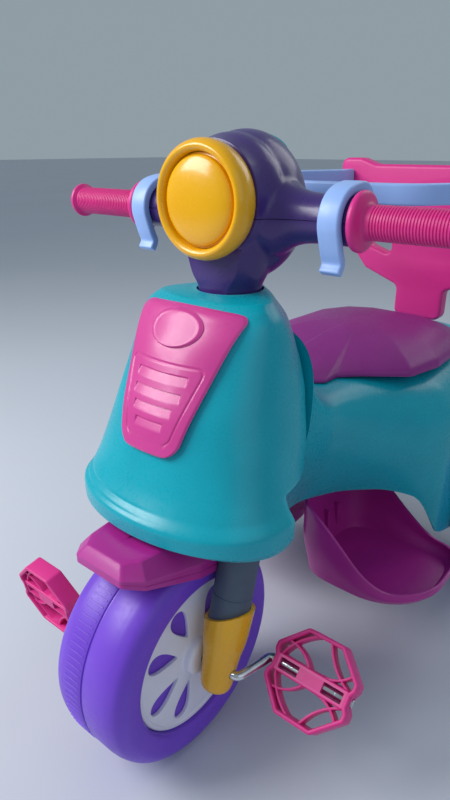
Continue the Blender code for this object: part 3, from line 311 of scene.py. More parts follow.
def activate(piece: bpy.types.Object) -> None:
    """Select one piece and make it active."""
    deselect()
    piece.select_set(True)
    bpy.context.view_layer.objects.active = piece


def started(name: str) -> bpy.types.Object:
    """Name the primitive that was just added."""
    piece = bpy.context.object
    piece.name = name
    piece.data.name = name
    return piece


def closed_up(piece: bpy.types.Object, cap: bool = False) -> bpy.types.Object:
    """Merge doubles, fill open ends if asked, and turn the faces outwards.

    Args:
        piece: Mesh object to clean.
        cap: Whether open ends are filled.

    Returns:
        The same object.
    """
    activate(piece)
    bpy.ops.object.mode_set(mode="EDIT")
    bpy.ops.mesh.select_all(action="SELECT")
    bpy.ops.mesh.remove_doubles(threshold=0.02 * MILLIMETRE)
    if cap:
        bpy.ops.mesh.fill_holes(sides=0)
    bpy.ops.mesh.select_all(action="SELECT")
    bpy.ops.mesh.normals_make_consistent(inside=False)
    bpy.ops.object.mode_set(mode="OBJECT")
    return piece


def skin(name: str, rings: Sequence[Sequence[Iterable[float]]], around: bool = True,
         cap: bool = True) -> bpy.types.Object:
    """Shape a grid into a skin through rings of equal point count.

    Args:
        name: Name of the piece.
        rings: Points of each ring in order.
        around: Whether each ring closes on itself.
        cap: Whether the open ends are filled.

    Returns:
        The new mesh object.
    """
    count = len(rings[0])
    columns = count if around else count - 1
    rows = len(rings) - 1
    deselect()
    bpy.ops.mesh.primitive_grid_add(x_subdivisions=columns, y_subdivisions=rows, size=1)
    piece = started(name)
    for vertex in piece.data.vertices:
        column = round((vertex.co.x + 0.5) * columns) % count
        vertex.co = Vector(rings[round((vertex.co.y + 0.5) * rows)][column])
    return closed_up(piece, cap)


def lathe(name: str, profile: Sequence[Point], placing: Matrix, steps: int = 96) -> bpy.types.Object:
    """Extrude a vertex along a profile and spin it about local Z.

    Args:
        name: Name of the piece.
        profile: Radius and height of each point; it closes on itself unless it meets the axis.
        placing: Matrix from the lathe's axis to the tricycle.
        steps: Steps of the turn.

    Returns:
        The new mesh object.
    """
    line = list(profile)
    if line[0][0] > 0 and line[-1][0] > 0:
        line.append(line[0])
    deselect()
    bpy.ops.mesh.primitive_circle_add(vertices=3, radius=MILLIMETRE, enter_editmode=True)
    bpy.ops.mesh.merge(type="CENTER")
    bpy.ops.transform.translate(value=(line[0][0], 0, line[0][1]))
    for (r0, z0), (r1, z1) in zip(line, line[1:]):
        bpy.ops.mesh.extrude_vertices_move(TRANSFORM_OT_translate={"value": (r1 - r0, 0, z1 - z0)})
    bpy.ops.mesh.select_all(action="SELECT")
    bpy.ops.mesh.spin(steps=steps, angle=math.tau, center=(0, 0, 0), axis=(0, 0, 1))
    piece = closed_up(started(name))
    piece.data.transform(placing)
    return piece


def block(name: str, size: Sequence[float], placing: Matrix, rounding: float = 0.0) -> bpy.types.Object:
    """A cube scaled to a size, its edges rounded by bevelling.

    Args:
        name: Name of the piece.
        size: Length along each local axis.
        placing: Matrix from the block's middle to the tricycle.
        rounding: Width of the rounded edges.

    Returns:
        The new mesh object.
    """
    deselect()
    bpy.ops.mesh.primitive_cube_add(size=1, enter_editmode=True)
    bpy.ops.transform.resize(value=size)
    if rounding:
        bpy.ops.mesh.bevel(offset=rounding, segments=4, affect="EDGES")
    piece = started(name)
    deselect()
    piece.data.transform(placing)
    return piece


def rod(name: str, radius: float, length: float, placing: Matrix, sides: int = 48) -> bpy.types.Object:
    """A plain cylinder for cutting bores.

    Args:
        name: Name of the piece.
        radius: Radius.
        length: Length.
        placing: Matrix from the rod's middle to the tricycle.
        sides: Facets round it.

    Returns:
        The new mesh object.
    """
    deselect()
    bpy.ops.mesh.primitive_cylinder_add(vertices=sides, radius=radius, depth=length)
    piece = started(name)
    piece.data.transform(placing)
    return piece


def sweep(name: str, route: Sequence[Vector], section: Sequence[Point], normal: Vector,
          closed: bool = False) -> bpy.types.Object:
    """Carry a section along a flat route.

    Args:
        name: Name of the piece.
        route: Points of the route, all in one plane.
        section: Points as (across the route, along the normal).
        normal: Normal of the route's plane.
        closed: Whether the route closes on itself.

    Returns:
        The new mesh object.
    """
    count = len(route)
    rings = []
    for i, here in enumerate(route):
        before = route[i - 1] if closed or i else here
        after = route[(i + 1) % count] if closed or i < count - 1 else here
        across = (after - before).normalized().cross(normal)
        rings.append([here + across * a + normal * b for a, b in section])
    if closed:
        rings.append(rings[0])
    return skin(name, rings, cap=not closed)


def apply_modifier(piece: bpy.types.Object, kind: str, **settings) -> bpy.types.Object:
    """Add a modifier with its settings and apply it.

    Args:
        piece: Object that is changed.
        kind: Modifier type, such as "BEVEL".
        **settings: Attributes of the modifier.

    Returns:
        The same object.
    """
    activate(piece)
    step = piece.modifiers.new(kind.lower(), kind)
    for key, value in settings.items():
        setattr(step, key, value)
    bpy.ops.object.modifier_apply(modifier=step.name)
    return piece


def rounded(piece: bpy.types.Object, width: float, segments: int = 2, angle: float = 40) -> bpy.types.Object:
    """Round the edges of a piece that are sharper than an angle in degrees."""
    return apply_modifier(piece, "BEVEL", width=width, segments=segments, limit_method="ANGLE",
                          angle_limit=math.radians(angle), use_clamp_overlap=True)


def walled(piece: bpy.types.Object, wall: float) -> bpy.types.Object:
    """Thicken an open skin inwards."""
    return apply_modifier(piece, "SOLIDIFY", thickness=wall, offset=-1, use_even_offset=True)


def cut(piece: bpy.types.Object, *cutters: bpy.types.Object,
        operation: str = "DIFFERENCE") -> bpy.types.Object:
    """Cut, or join, a piece with other solids, which are used up.

    Args:
        piece: Solid that is changed.
        *cutters: Solids that are used up.
        operation: DIFFERENCE to cut or UNION to join.

    Returns:
        The same object.
    """
    for cutter in cutters:
        apply_modifier(piece, "BOOLEAN", operation=operation, solver="EXACT", object=cutter, use_self=True)
        bpy.data.objects.remove(cutter)
    return piece


def joined(name: str, pieces: Sequence[bpy.types.Object]) -> bpy.types.Object:
    """Join several meshes into one object.

    Args:
        name: Name of the joined piece.
        pieces: Meshes to join.

    Returns:
        The first object, which now holds all the meshes.
    """
    activate(pieces[0])
    for piece in pieces:
        piece.select_set(True)
    bpy.ops.object.join()
    return started(name)


def spline(points: Sequence[Sequence[float]], per_span: int = 6, closed: bool = False) -> list[Vector]:
    """Smooth line through points.

    Args:
        points: Points of any dimension.
        per_span: Steps between two points.
        closed: Whether the line closes on itself.

    Returns:
        Points of a Catmull-Rom line that passes through each given point.
    """
    rows = [Vector(p) for p in points]
    count = len(rows)
    spans = count if closed else count - 1
    line = []
    for i in range(spans):
        b, c = rows[i], rows[(i + 1) % count]
        a = rows[i - 1] if closed or i else b * 2 - c
        d = rows[(i + 2) % count] if closed or i + 2 < count else c * 2 - b
        for k in range(per_span):
            t = k / per_span
            line.append(0.5 * (2 * b + (c - a) * t + (2 * a - 5 * b + 4 * c - d) * t * t
                               + (3 * b - a - 3 * c + d) * t ** 3))
    if not closed:
        line.append(rows[-1])
    return line


def smooth_rows(table: Sequence[Sequence[float]], per_span: int) -> list[list[float]]:
    """Rows of a table of sections, with smoothly blended rows between them.

    Args:
        table: Rows whose first column rises.
        per_span: Rows made between two given ones.

    Returns:
        The blended rows, with every given row among them.
    """
    columns = range(len(table[0]))
    rows = []
    for i, (low, high) in enumerate(zip(table, table[1:])):
        before = table[i - 1] if i else low
        after = table[i + 2] if i + 2 < len(table) else high
        gap = high[0] - low[0]
        for k in range(per_span):
            t = k / per_span
            h0, h1 = 2 * t ** 3 - 3 * t * t + 1, t ** 3 - 2 * t * t + t
            h2, h3 = 3 * t * t - 2 * t ** 3, t ** 3 - t * t
            row = []
            for c in columns:
                rise_low = slope(before, low, high, c)
                rise_high = slope(low, high, after, c)
                row.append(h0 * low[c] + h1 * gap * rise_low + h2 * high[c] + h3 * gap * rise_high)
            rows.append(row)
    rows.append(list(table[-1]))
    return rows


def slope(before: Sequence[float], here: Sequence[float], after: Sequence[float], column: int) -> float:
    """Slope of a column at a row, level at a peak, so that blending never overshoots.

    Args:
        before: Row before.
        here: Row itself.
        after: Row after.
        column: Number of the column.

    Returns:
        The slope against the first column.
    """
    left = (here[column] - before[column]) / (here[0] - before[0]) if here[0] > before[0] else None
    right = (after[column] - here[column]) / (after[0] - here[0]) if after[0] > here[0] else None
    if left is None or right is None:
        return right if left is None else left
    if left * right <= 0:
        return 0.0
    return 2 * left * right / (left + right)


def blended(rows: Sequence[Sequence[float]], key: float) -> list[float]:
    """The row of a table at a key, between its two neighbours.

    Args:
        rows: Rows whose first column rises.
        key: Value of the first column.

    Returns:
        The blended row.
    """
    if key <= rows[0][0]:
        return list(rows[0])
    for low, high in zip(rows, rows[1:]):
        if key <= high[0]:
            share = (key - low[0]) / (high[0] - low[0])
            return [a + (b - a) * share for a, b in zip(low, high)]
    return list(rows[-1])


def rounded_route(points: Sequence[Vector], radius: float, steps: int = 8,
                  closed: bool = False) -> list[Vector]:
    """Replace the corners of a route by arcs.

    Args:
        points: Corners of the route.
        radius: Radius of each arc.
        steps: Steps of each arc.
        closed: Whether the route closes on itself.

    Returns:
        The rounded route.
    """
    count = len(points)
    inner = range(count) if closed else range(1, count - 1)
    route = [] if closed else [Vector(points[0])]
    for i in inner:
        corner = Vector(points[i])
        back = (Vector(points[i - 1]) - corner).normalized()
        ahead = (Vector(points[(i + 1) % count]) - corner).normalized()
        half = back.angle(ahead) / 2
        centre = corner + (back + ahead).normalized() * (radius / math.sin(half))
        reach = radius / math.tan(half)
        start, end = corner + back * reach - centre, corner + ahead * reach - centre
        turn = start.angle(end)
        for k in range(steps + 1):
            t = k / steps
            mixed = start * math.sin((1 - t) * turn) + end * math.sin(t * turn)
            route.append(centre + mixed / math.sin(turn))
    if not closed:
        route.append(Vector(points[-1]))
    return route


def pill(wide: float, tall: float, corner: float, steps: int = 4) -> list[Point]:
    """Section of a rounded rectangle.

    Args:
        wide: Width.
        tall: Height.
        corner: Radius of the corners.
        steps: Steps of each corner.

    Returns:
        Points of the section, anticlockwise.
    """
    section = []
    for quarter, (sx, sy) in enumerate(((1, 1), (-1, 1), (-1, -1), (1, -1))):
        for k in range(steps + 1):
            turn = math.pi / 2 * (quarter + k / steps)
            section.append((sx * (wide / 2 - corner) + corner * math.cos(turn),
                            sy * (tall / 2 - corner) + corner * math.sin(turn)))
    return section


def mirrored(half: Sequence[Point]) -> list[Point]:
    """Close a half outline at +X with its mirror image."""
    return list(half) + [(-x, y) for x, y in reversed(half)]


def smooth_step(t: float) -> float:
    """Ease from 0 to 1."""
    t = min(1.0, max(0.0, t))
    return t * t * (3 - 2 * t)


def at(x: float, y: float, z: float) -> Matrix:
    """Matrix that moves to a point."""
    return Matrix.Translation((x, y, z))


FRONT_LOW, FRONT_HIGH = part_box("front_tyre")
FRONT_AXLE = (FRONT_LOW + FRONT_HIGH) / 2


def y_at(setback: float) -> float:
    """Y of a distance behind the front axle."""
    return FRONT_AXLE.y + setback


@dataclass
class SubAssembly:
    """Shared last steps of every sub-assembly."""

    body: str

    def keep(self, piece: bpy.types.Object, finish: Finish, *nodes: str, body: str | None = None,
             angle: float = 38) -> bpy.types.Object:
        """Shade and dress a finished piece and let it ride on its body.

        Args:
            piece: Finished mesh.
            finish: Finish of the whole piece.
            *nodes: CAD nodes that the piece stands for.
            body: Body that it rides on, if not the sub-assembly's own.
            angle: Edges sharper than this many degrees stay sharp.

        Returns:
            The same object.
        """
        activate(piece)
        bpy.ops.object.shade_smooth_by_angle(angle=math.radians(angle))
        piece.data.materials.clear()
        piece.data.materials.append(material_of(finish))
        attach(piece, body or self.body)
        if nodes:
            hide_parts(*nodes)
        LOG.info("%s: %d faces, %s", piece.name, len(piece.data.polygons), finish.value.name)
        return piece


# ---------------------------------------------------------------- wheels
@dataclass
class Wheel(SubAssembly):
    """Blow-moulded wheel with white spoked discs let into its sides.

    Attributes:
        label: Name stem of its CAD nodes.
        web: Half width of the tyre at the floor of its recess.
        disc_radius: Radius of the discs.
        boss_radius: Radius of the boss in the middle of a disc.
        boss_end: Distance of the boss's face from the wheel's middle.
        bore: Radius of the axle hole.
        sides: CAD nodes of the discs, with their side and whether they have windows.
        ticks: Count of the raised ticks round half of the tread, if it has any.
    """

    label: str
    web: float
    disc_radius: float
    boss_radius: float
    boss_end: float
    bore: float
    sides: list[tuple[str, int, bool]]
    ticks: int = 0
    spread: float = math.radians(20.5)
    tread_rise: float = 0.0007
    fit: float = 0.0003
    disc_thickness: float = 0.004

    def __post_init__(self) -> None:
        """Take the wheel's place and size from its CAD tyre."""
        low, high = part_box(self.label)
        self.centre = (low + high) / 2
        self.radius = self.centre.z - low.z
        self.half_width = (high.x - low.x) / 2

    def place(self, side: int = 1) -> Matrix:
        """Matrix from a lathe's axis to the wheel's, pointing to a side."""
        return at(*self.centre) @ Matrix.Rotation(side * math.pi / 2, 4, "Y")

    def tyre(self) -> None:
        """Tyre with bulging walls, a seam groove and a fine step beside each tread."""
        r, w = self.radius - self.tread_rise, self.half_width
        wall = r - self.disc_radius
        rim = self.disc_radius + self.fit
        outer = spline([(rim + 0.0006, 0.935 * w), (rim + 0.10 * wall, 0.985 * w), (r - 0.62 * wall, w),
                        (r - 0.36 * wall, 0.985 * w), (r - 0.14 * wall, 0.87 * w),
                        (r - 0.035 * wall, 0.68 * w),
                        (r, 0.50 * w)], 5)
        groove = [(r, 0.0022), (r - 0.0004, 0.0014), (r - 0.0014, 0.0009)]
        half = [(0.012, self.web), (rim, self.web), (rim, 0.925 * w)] + [tuple(p) for p in outer] + groove
        profile = half + [(radius, -x) for radius, x in reversed(half)]
        piece = lathe(self.label, profile, self.place(), 128)
        self.keep(piece, Finish.VIOLET, self.label, angle=30)

    def tread_ticks(self) -> None:
        """Row of fine cross ticks round the half of the tread away from the rider's left."""
        if not self.ticks:
            return
        length = 0.44 * self.half_width
        deselect()
        bpy.ops.mesh.primitive_cube_add(size=1, enter_editmode=True)
        bpy.ops.transform.resize(value=(2 * self.tread_rise, 0.0011, length))
        bpy.ops.mesh.bevel(offset=0.0002, segments=1, affect="EDGES")
        bpy.ops.transform.translate(value=(self.radius - self.tread_rise, 0, -0.30 * self.half_width))
        bpy.ops.mesh.spin(steps=self.ticks, angle=math.tau, dupli=True, center=(0, 0, 0), axis=(0, 0, 1))
        piece = started(self.label + "_ticks")
        closed_up(piece)
        piece.data.transform(self.place())
        self.keep(piece, Finish.VIOLET)

    def teardrops(self, side: int) -> list[bpy.types.Object]:
        """Cutters for the windows: four pairs of teardrops between the broad spokes.

        Args:
            side: Side of the disc: 1 for +X, -1 for -X.

        Returns:
            The cutters.
        """
        inner, outer = self.boss_radius * 1.08 + 0.10 * self.disc_radius, self.disc_radius * 0.88
        middle = self.web + self.fit + self.disc_thickness / 2
        cutters = []
        for pair in range(4):
            for lean in (-1, 1):
                turn = math.tau * (pair + 0.5) / 4 + lean * self.spread
                outline = []
                for step in range(40):
                    t = math.tau * step / 40
                    along = (inner + outer) / 2 + (outer - inner) / 2 * math.cos(t)
                    across = 0.20 * outer * (0.62 + 0.38 * math.cos(t)) * math.sin(t)
                    outline.append((along * math.cos(turn) - across * math.sin(turn),
                                    along * math.sin(turn) + across * math.cos(turn)))
                rings = [[(x, y, height) for x, y in outline] for height in (middle - 0.004, middle + 0.004)]
                cutter = skin("teardrop", rings)
                cutter.data.transform(self.place(side))
                cutters.append(cutter)
        return cutters

    def discs(self) -> None:
        """White discs with a rounded boss, a raised rim and teardrop windows."""
        low = self.web + self.fit
        high = low + self.disc_thickness
        end, boss, edge = self.boss_end, self.boss_radius, self.disc_radius
        for node, side, windowed in self.sides:
            face = spline([(boss * 0.45, end), (boss * 0.80, end - 0.0004), (boss * 0.97, end - 0.0028),
                           (boss, end - 0.0058), (boss * 1.03, high + 0.0012), (boss * 1.16, high)], 4)
            profile = [(self.bore, end - 0.0006), (self.bore + 0.0006, end)] + [tuple(p) for p in face]
            profile += [(edge - 0.0062, high), (edge - 0.0052, high + 0.0008), (edge - 0.0016, high + 0.0008),
                        (edge - 0.0003, high - 0.0004), (edge, high - 0.0014), (edge, low), (self.bore, low)]
            piece = lathe(node, profile, self.place(side), 128)
            if windowed:
                cut(piece, *self.teardrops(side))
                closed_up(piece)
                rounded(piece, 0.0006, 2, 60)
            self.keep(piece, Finish.WHITE, node, angle=35)

    def build(self) -> None:
        """Build the wheel."""
        self.tyre()
        self.tread_ticks()
        self.discs()


@dataclass
class Drive(SubAssembly):
    """Cranked axle of the front wheel with a pedal at each end.

    Attributes:
        rod_radius: Radius of the bent rod.
        throw: Distance of a pedal's spindle from the axle.
        rise: Angle of the left crank above the level line.
        arm_start: Distance from the middle plane where the arm leaves the axle.
        arm_end: Distance from the middle plane where it meets the spindle.
        bend: Bend radius at the middle of the rod.
        pedal_at: Distance of a pedal's middle from the middle plane.
        wide: Length of a pedal along its spindle.
        deep: Length of a pedal across its spindle.
        thick: Thickness of a pedal.
        wall: Thickness of a pedal's frame.
        bridge: Width of the bridge around the spindle.
        tilts: Rest angle of the left and the right pedal.
    """

    rod_radius: float = 0.0045
    throw: float = 0.042
    rise: float = math.radians(3)
    arm_start: float = 0.0915
    arm_end: float = 0.1025
    bend: float = 0.0062
    pedal_at: float = 0.1515
    wide: float = 0.090
    deep: float = 0.086
    thick: float = 0.021
    wall: float = 0.0042
    bridge: float = 0.018
    tilts: tuple[float, float] = (math.radians(45), math.radians(100))

    def arm(self) -> Vector:
        """Arm of the left crank, from the axle to the spindle."""
        return Vector((0, math.cos(self.rise), math.sin(self.rise))) * self.throw

    def axle(self) -> None:
        """One plated rod bent into two cranks."""
        half = [Vector((self.arm_start, 0, 0)), Vector((self.arm_end, 0, 0)) + self.arm(),
                Vector((self.pedal_at + self.wide / 2 - 0.0006, 0, 0)) + self.arm()]
        corners = [FRONT_AXLE - p for p in reversed(half)] + [FRONT_AXLE + p for p in half]
        section = [(self.rod_radius * math.cos(math.tau * k / 24),
                    self.rod_radius * math.sin(math.tau * k / 24))
                   for k in range(24)]
        normal = Vector((1, 0, 0)).cross(self.arm()).normalized()
        piece = sweep("crank_axle", rounded_route(corners, self.bend), section, normal)
        self.keep(rounded(piece, 0.0007, 2, 60), Finish.STEEL, "crank_axle")

    def frame_outline(self) -> list[Vector]:
        """Route of the middle of a pedal's frame: a long octagon with a notch at each end."""
        w, d, corner = self.wide / 2 - self.wall / 2, self.deep / 2 - self.wall / 2, 0.024
        half = [(w - corner, -d), (w, -d + corner), (w, -0.011), (w - 0.0030, -0.006), (w - 0.0030, 0.006),
                (w, 0.011), (w, d - corner), (w - corner, d)]
        corners = [Vector((x, y, 0)) for x, y in mirrored(half)]
        return rounded_route(corners, 0.0032, 4, closed=True)

    def frame_at(self, x: float) -> float:
        """Distance of the middle of a pedal's frame from the spindle at a place along it."""
        w, d, corner = self.wide / 2 - self.wall / 2, self.deep / 2 - self.wall / 2, 0.024
        return d - max(0.0, abs(x) - w + corner)

    def rib(self, name: str, start: Point, end: Point, bow: float) -> bpy.types.Object:
        """Thin upright rib between two points, bowed sideways.

        Args:
            name: Name of the piece.
            start: One end, along and across the spindle.
            end: The other end.
            bow: How far its middle stands sideways.

        Returns:
            The new mesh object.
        """
        a, b = Vector((*start, 0)), Vector((*end, 0))
        side = (b - a).normalized().cross(Vector((0, 0, 1)))
        route = [a.lerp(b, t / 12) + side * (bow * 4 * t / 12 * (1 - t / 12)) for t in range(13)]
        return sweep(name, route, pill(0.0026, self.thick * 0.66, 0.0008, 2), Vector((0, 0, 1)))

    def pedal(self, node: str, side: int, tilt: float) -> None:
        """Open pedal: frame, bridge with two windows, and crossed bowed ribs.

        Args:
            node: CAD node and body of the pedal.
            side: 1 for the left, -1 for the right.
            tilt: Angle of the pedal at rest.
        """
        frame_ring = sweep(node, self.frame_outline(), pill(self.wall, self.thick, 0.0014, 3),
                           Vector((0, 0, 1)),
                           closed=True)
        parts = [frame_ring]
        half_bridge = self.bridge / 2
        for row in (-1, 1):
            for column in (-1, 1):
                for lean in (-1, 1):
                    x = column * self.wide * 0.235
                    reach = self.wide * 0.175 * lean
                    parts.append(self.rib("rib", (x - reach, row * (half_bridge - 0.001)),
                                          (x + reach, row * self.frame_at(x + reach)),
                                          0.0045 * lean * row * column))
        bridge = block("bridge", (self.wide - self.wall, self.bridge, self.thick * 0.84), Matrix.Identity(4),
                       0.0018)
        windows = [block("window", (self.wide * 0.24, self.bridge * 0.60, self.thick * 1.2),
                         at(window * self.wide * 0.27, 0, 0), 0.0012) for window in (-1, 1)]
        parts.append(cut(bridge, *windows))
        piece = joined(node, parts)
        cut(piece, rod("bore", self.rod_radius + 0.0005, self.wide * 1.2, ALONG_X))
        centre = FRONT_AXLE + Vector((side * self.pedal_at, 0, 0)) + side * self.arm()
        piece.data.transform(at(*centre) @ Matrix.Rotation(tilt, 4, "X"))
        self.keep(piece, Finish.PINK, node, body=node, angle=35)

    def washer(self, node: str, side: int) -> None:
        """Push-on washer with a raised collar on a spindle.

        Args:
            node: CAD node of the washer.
            side: 1 for the left, -1 for the right.
        """
        low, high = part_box(node)
        middle = (low + high) / 2
        half, outer, inner = (high.x - low.x) / 2, (high.z - low.z) / 2, self.rod_radius + 0.0001
        profile = [(inner, half), (inner + 0.0008, half), (inner + 0.0011, half * 0.3),
                   (outer - 0.0003, half * 0.3),
                   (outer, 0.0), (outer - 0.0003, -half), (inner, -half)]
        piece = lathe(node, profile, at(*middle) @ Matrix.Rotation(side * math.pi / 2, 4, "Y"), 40)
        self.keep(piece, Finish.STEEL, node)

    def build(self) -> None:
        """Build the drive."""
        self.axle()
        for label, side, tilt in (("left", 1, self.tilts[0]), ("right", -1, self.tilts[1])):
            self.pedal(f"pedal_{label}", side, tilt)
            self.washer(f"pedal_washer_{label}", side)


# ---------------------------------------------------------------- steering
@dataclass
class Fork(SubAssembly):
    """Crown, legs, sleeves and mudguard, along the raked steering axis.

    Attributes:
        rake: Angle by which the steering axis leans back.
        offset: Distance of a leg from the middle plane.
        leg_radius: Radius of a leg.
        crown: Lower side of the crown along the axis.
        sleeve_top: Upper end of a sleeve along the axis.
        sleeve_bottom: Lower end of a sleeve along the axis.
        guard_edges: Setback, lower edge and upper edge of the mudguard.
        guard_outline: Half of the mudguard's outline from above, as distance from the middle and setback.
        guard_wall: Wall of the mudguard.
    """

    rake: float = math.radians(15.5)
    offset: float = 0.068
    leg_radius: float = 0.020
    crown: float = 0.166
    sleeve_top: float = 0.052
    sleeve_bottom: float = -0.024
    guard_edges: list[tuple[float, float, float]] = field(default_factory=lambda: [
        (-0.09, 0.2520, 0.2685), (-0.01, 0.2270, 0.2680), (0.06, 0.2120, 0.2635), (0.095, 0.2060, 0.2505)])
    guard_outline: tuple[Point, ...] = ((0.030, -0.086), (0.044, -0.070), (0.054, -0.010), (0.054, 0.062),
                                        (0.040, 0.086), (0.016, 0.094))
    guard_wall: float = 0.0025

    def lean(self) -> Matrix:
        """Turn from upright to the steering axis."""
        return Matrix.Rotation(-self.rake, 4, "X")

    def crown_piece(self) -> None:
        """Rounded crown across both legs."""
        low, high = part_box("fork_crown")
        width = high.x - low.x
        middle = FRONT_AXLE + self.lean() @ Vector((0, 0, self.crown + 0.011))
        piece = block("fork_crown", (width, 0.044, 0.022), at(*middle) @ self.lean(), 0.0055)
        self.keep(piece, Finish.GREY, "fork_crown")

    def leg(self, label: str, side: int) -> None:
        """Round leg with a shallow groove under the crown.

        Args:
            label: left or right.
            side: 1 for the left, -1 for the right.
        """
        top, low, r = self.crown - 0.0003, self.sleeve_top + 0.0003, self.leg_radius
        profile = [(0, top), (r - 0.0006, top), (r, top - 0.0006), (r, low + 0.030),
                   (r - 0.0005, low + 0.0294),
                   (r - 0.0005, low + 0.0286), (r, low + 0.028), (r, low + 0.0006), (r - 0.0006, low),
                   (0.0115, low), (0.0115, 0.018), (0, 0.018)]
        base = FRONT_AXLE + Vector((side * self.offset, 0, 0))
        piece = lathe(f"fork_leg_{label}", profile, at(*base) @ self.lean(), 64)
        self.keep(piece, Finish.GREY, f"fork_leg_{label}")

    def sleeve(self, label: str, side: int) -> None:
        """Tapered sleeve whose collar rises round the outside of the leg to a slanted edge.

        Args:
            label: left or right.
            side: 1 for the left, -1 for the right.
        """
        top, bottom = self.sleeve_top, self.sleeve_bottom
        collar = self.leg_radius + 0.0004
        wall = spline([(0.0245, top + 0.017), (0.0238, top + 0.004), (0.0224, 0.034), (0.0190, 0.014),
                       (0.0172, -0.004), (0.0164, bottom + 0.008), (0.0138, bottom + 0.0016),
                       (0.0110, bottom)], 5)
        profile = [(collar, top), (collar, top + 0.017)] + [tuple(p) for p in wall]
        profile += [(0, bottom), (0, 0.0177), (0.0118, 0.0177), (0.0118, top - 0.0003)]
        base = FRONT_AXLE + Vector((side * self.offset, 0, 0))
        piece = lathe(f"fork_sleeve_{label}", profile, Matrix.Identity(4), 64)
        activate(piece)
        bpy.ops.object.mode_set(mode="EDIT")
        bpy.ops.mesh.select_all(action="SELECT")
        slant = Vector((-0.42 * side, -0.12, 1)).normalized()
        bpy.ops.mesh.bisect(plane_co=(0, 0, top + 0.0085), plane_no=slant, use_fill=True, clear_outer=True)
        bpy.ops.object.mode_set(mode="OBJECT")
        closed_up(piece)
        piece.data.transform(at(*base) @ self.lean())
        cut(piece, rod("bore", 0.005, 0.09, at(*base) @ ALONG_X))
        self.keep(piece, Finish.YELLOW, f"fork_sleeve_{label}")

    def mudguard(self) -> None:
        """Facetted cover with a step above its lower edge, notched around the legs."""
        corners = [Vector((x, s, 0)) for x, s in mirrored(self.guard_outline)]
        outline = rounded_route(corners, 0.006, 4, closed=True)
        steps = ((0.0, 0.0, 0.0), (0.02, 0.0, 0.0), (0.16, 0.0, 0.0), (0.19, 0.0, 0.0007),
                 (0.23, 0.0, 0.0007),
                 (0.26, 0.0, 0.0), (0.42, 0.0, 0.0), (0.70, 0.46, 0.0), (0.88, 0.80, 0.0), (0.97, 0.97, 0.0),
                 (1.0, 1.12, 0.0), (1.0, 1.6, 0.0), (1.0, 2.6, 0.0), (1.0, 3.9, 0.0))
        rings = []
        for share, inset, groove in steps:
            ring = []
            for p in outline:
                low, high = blended(self.guard_edges, p.y)[1:]
                slope_in = 0.012 * inset
                x = p.x * (1 - slope_in / 0.05)
                ring.append((x - math.copysign(min(groove, abs(x)), x),
                             y_at(p.y * (1 - 0.6 * slope_in / 0.08)),
                             low + (high - low) * share))
            rings.append(ring)
        piece = skin("mudguard", rings, cap=False)
        activate(piece)
        bpy.ops.object.mode_set(mode="EDIT")
        bpy.ops.mesh.select_all(action="DESELECT")
        bpy.ops.object.mode_set(mode="OBJECT")
        last = [Vector(p) for p in rings[-1]]
        for vertex in piece.data.vertices:
            vertex.select = min((vertex.co - p).length for p in last) < 0.05 * MILLIMETRE
        bpy.ops.object.mode_set(mode="EDIT")
        bpy.ops.mesh.select_mode(type="VERT")
        bpy.ops.mesh.edge_face_add()
        bpy.ops.object.mode_set(mode="OBJECT")
        closed_up(piece)
        walled(piece, self.guard_wall)
        for side in (-1, 1):
            base = FRONT_AXLE + self.lean() @ Vector((0, 0, self.crown * 0.8)) + Vector((side * self.offset,
                                                                                         0, 0))
            cut(piece, rod("notch", self.leg_radius + 0.001, 0.2, at(*base) @ self.lean()))
        self.keep(piece, Finish.MAGENTA, "mudguard", angle=22)

    def build(self) -> None:
        """Build the fork."""
        self.crown_piece()
        for label, side in (("left", 1), ("right", -1)):
            self.leg(label, side)
            self.sleeve(label, side)
        self.mudguard()


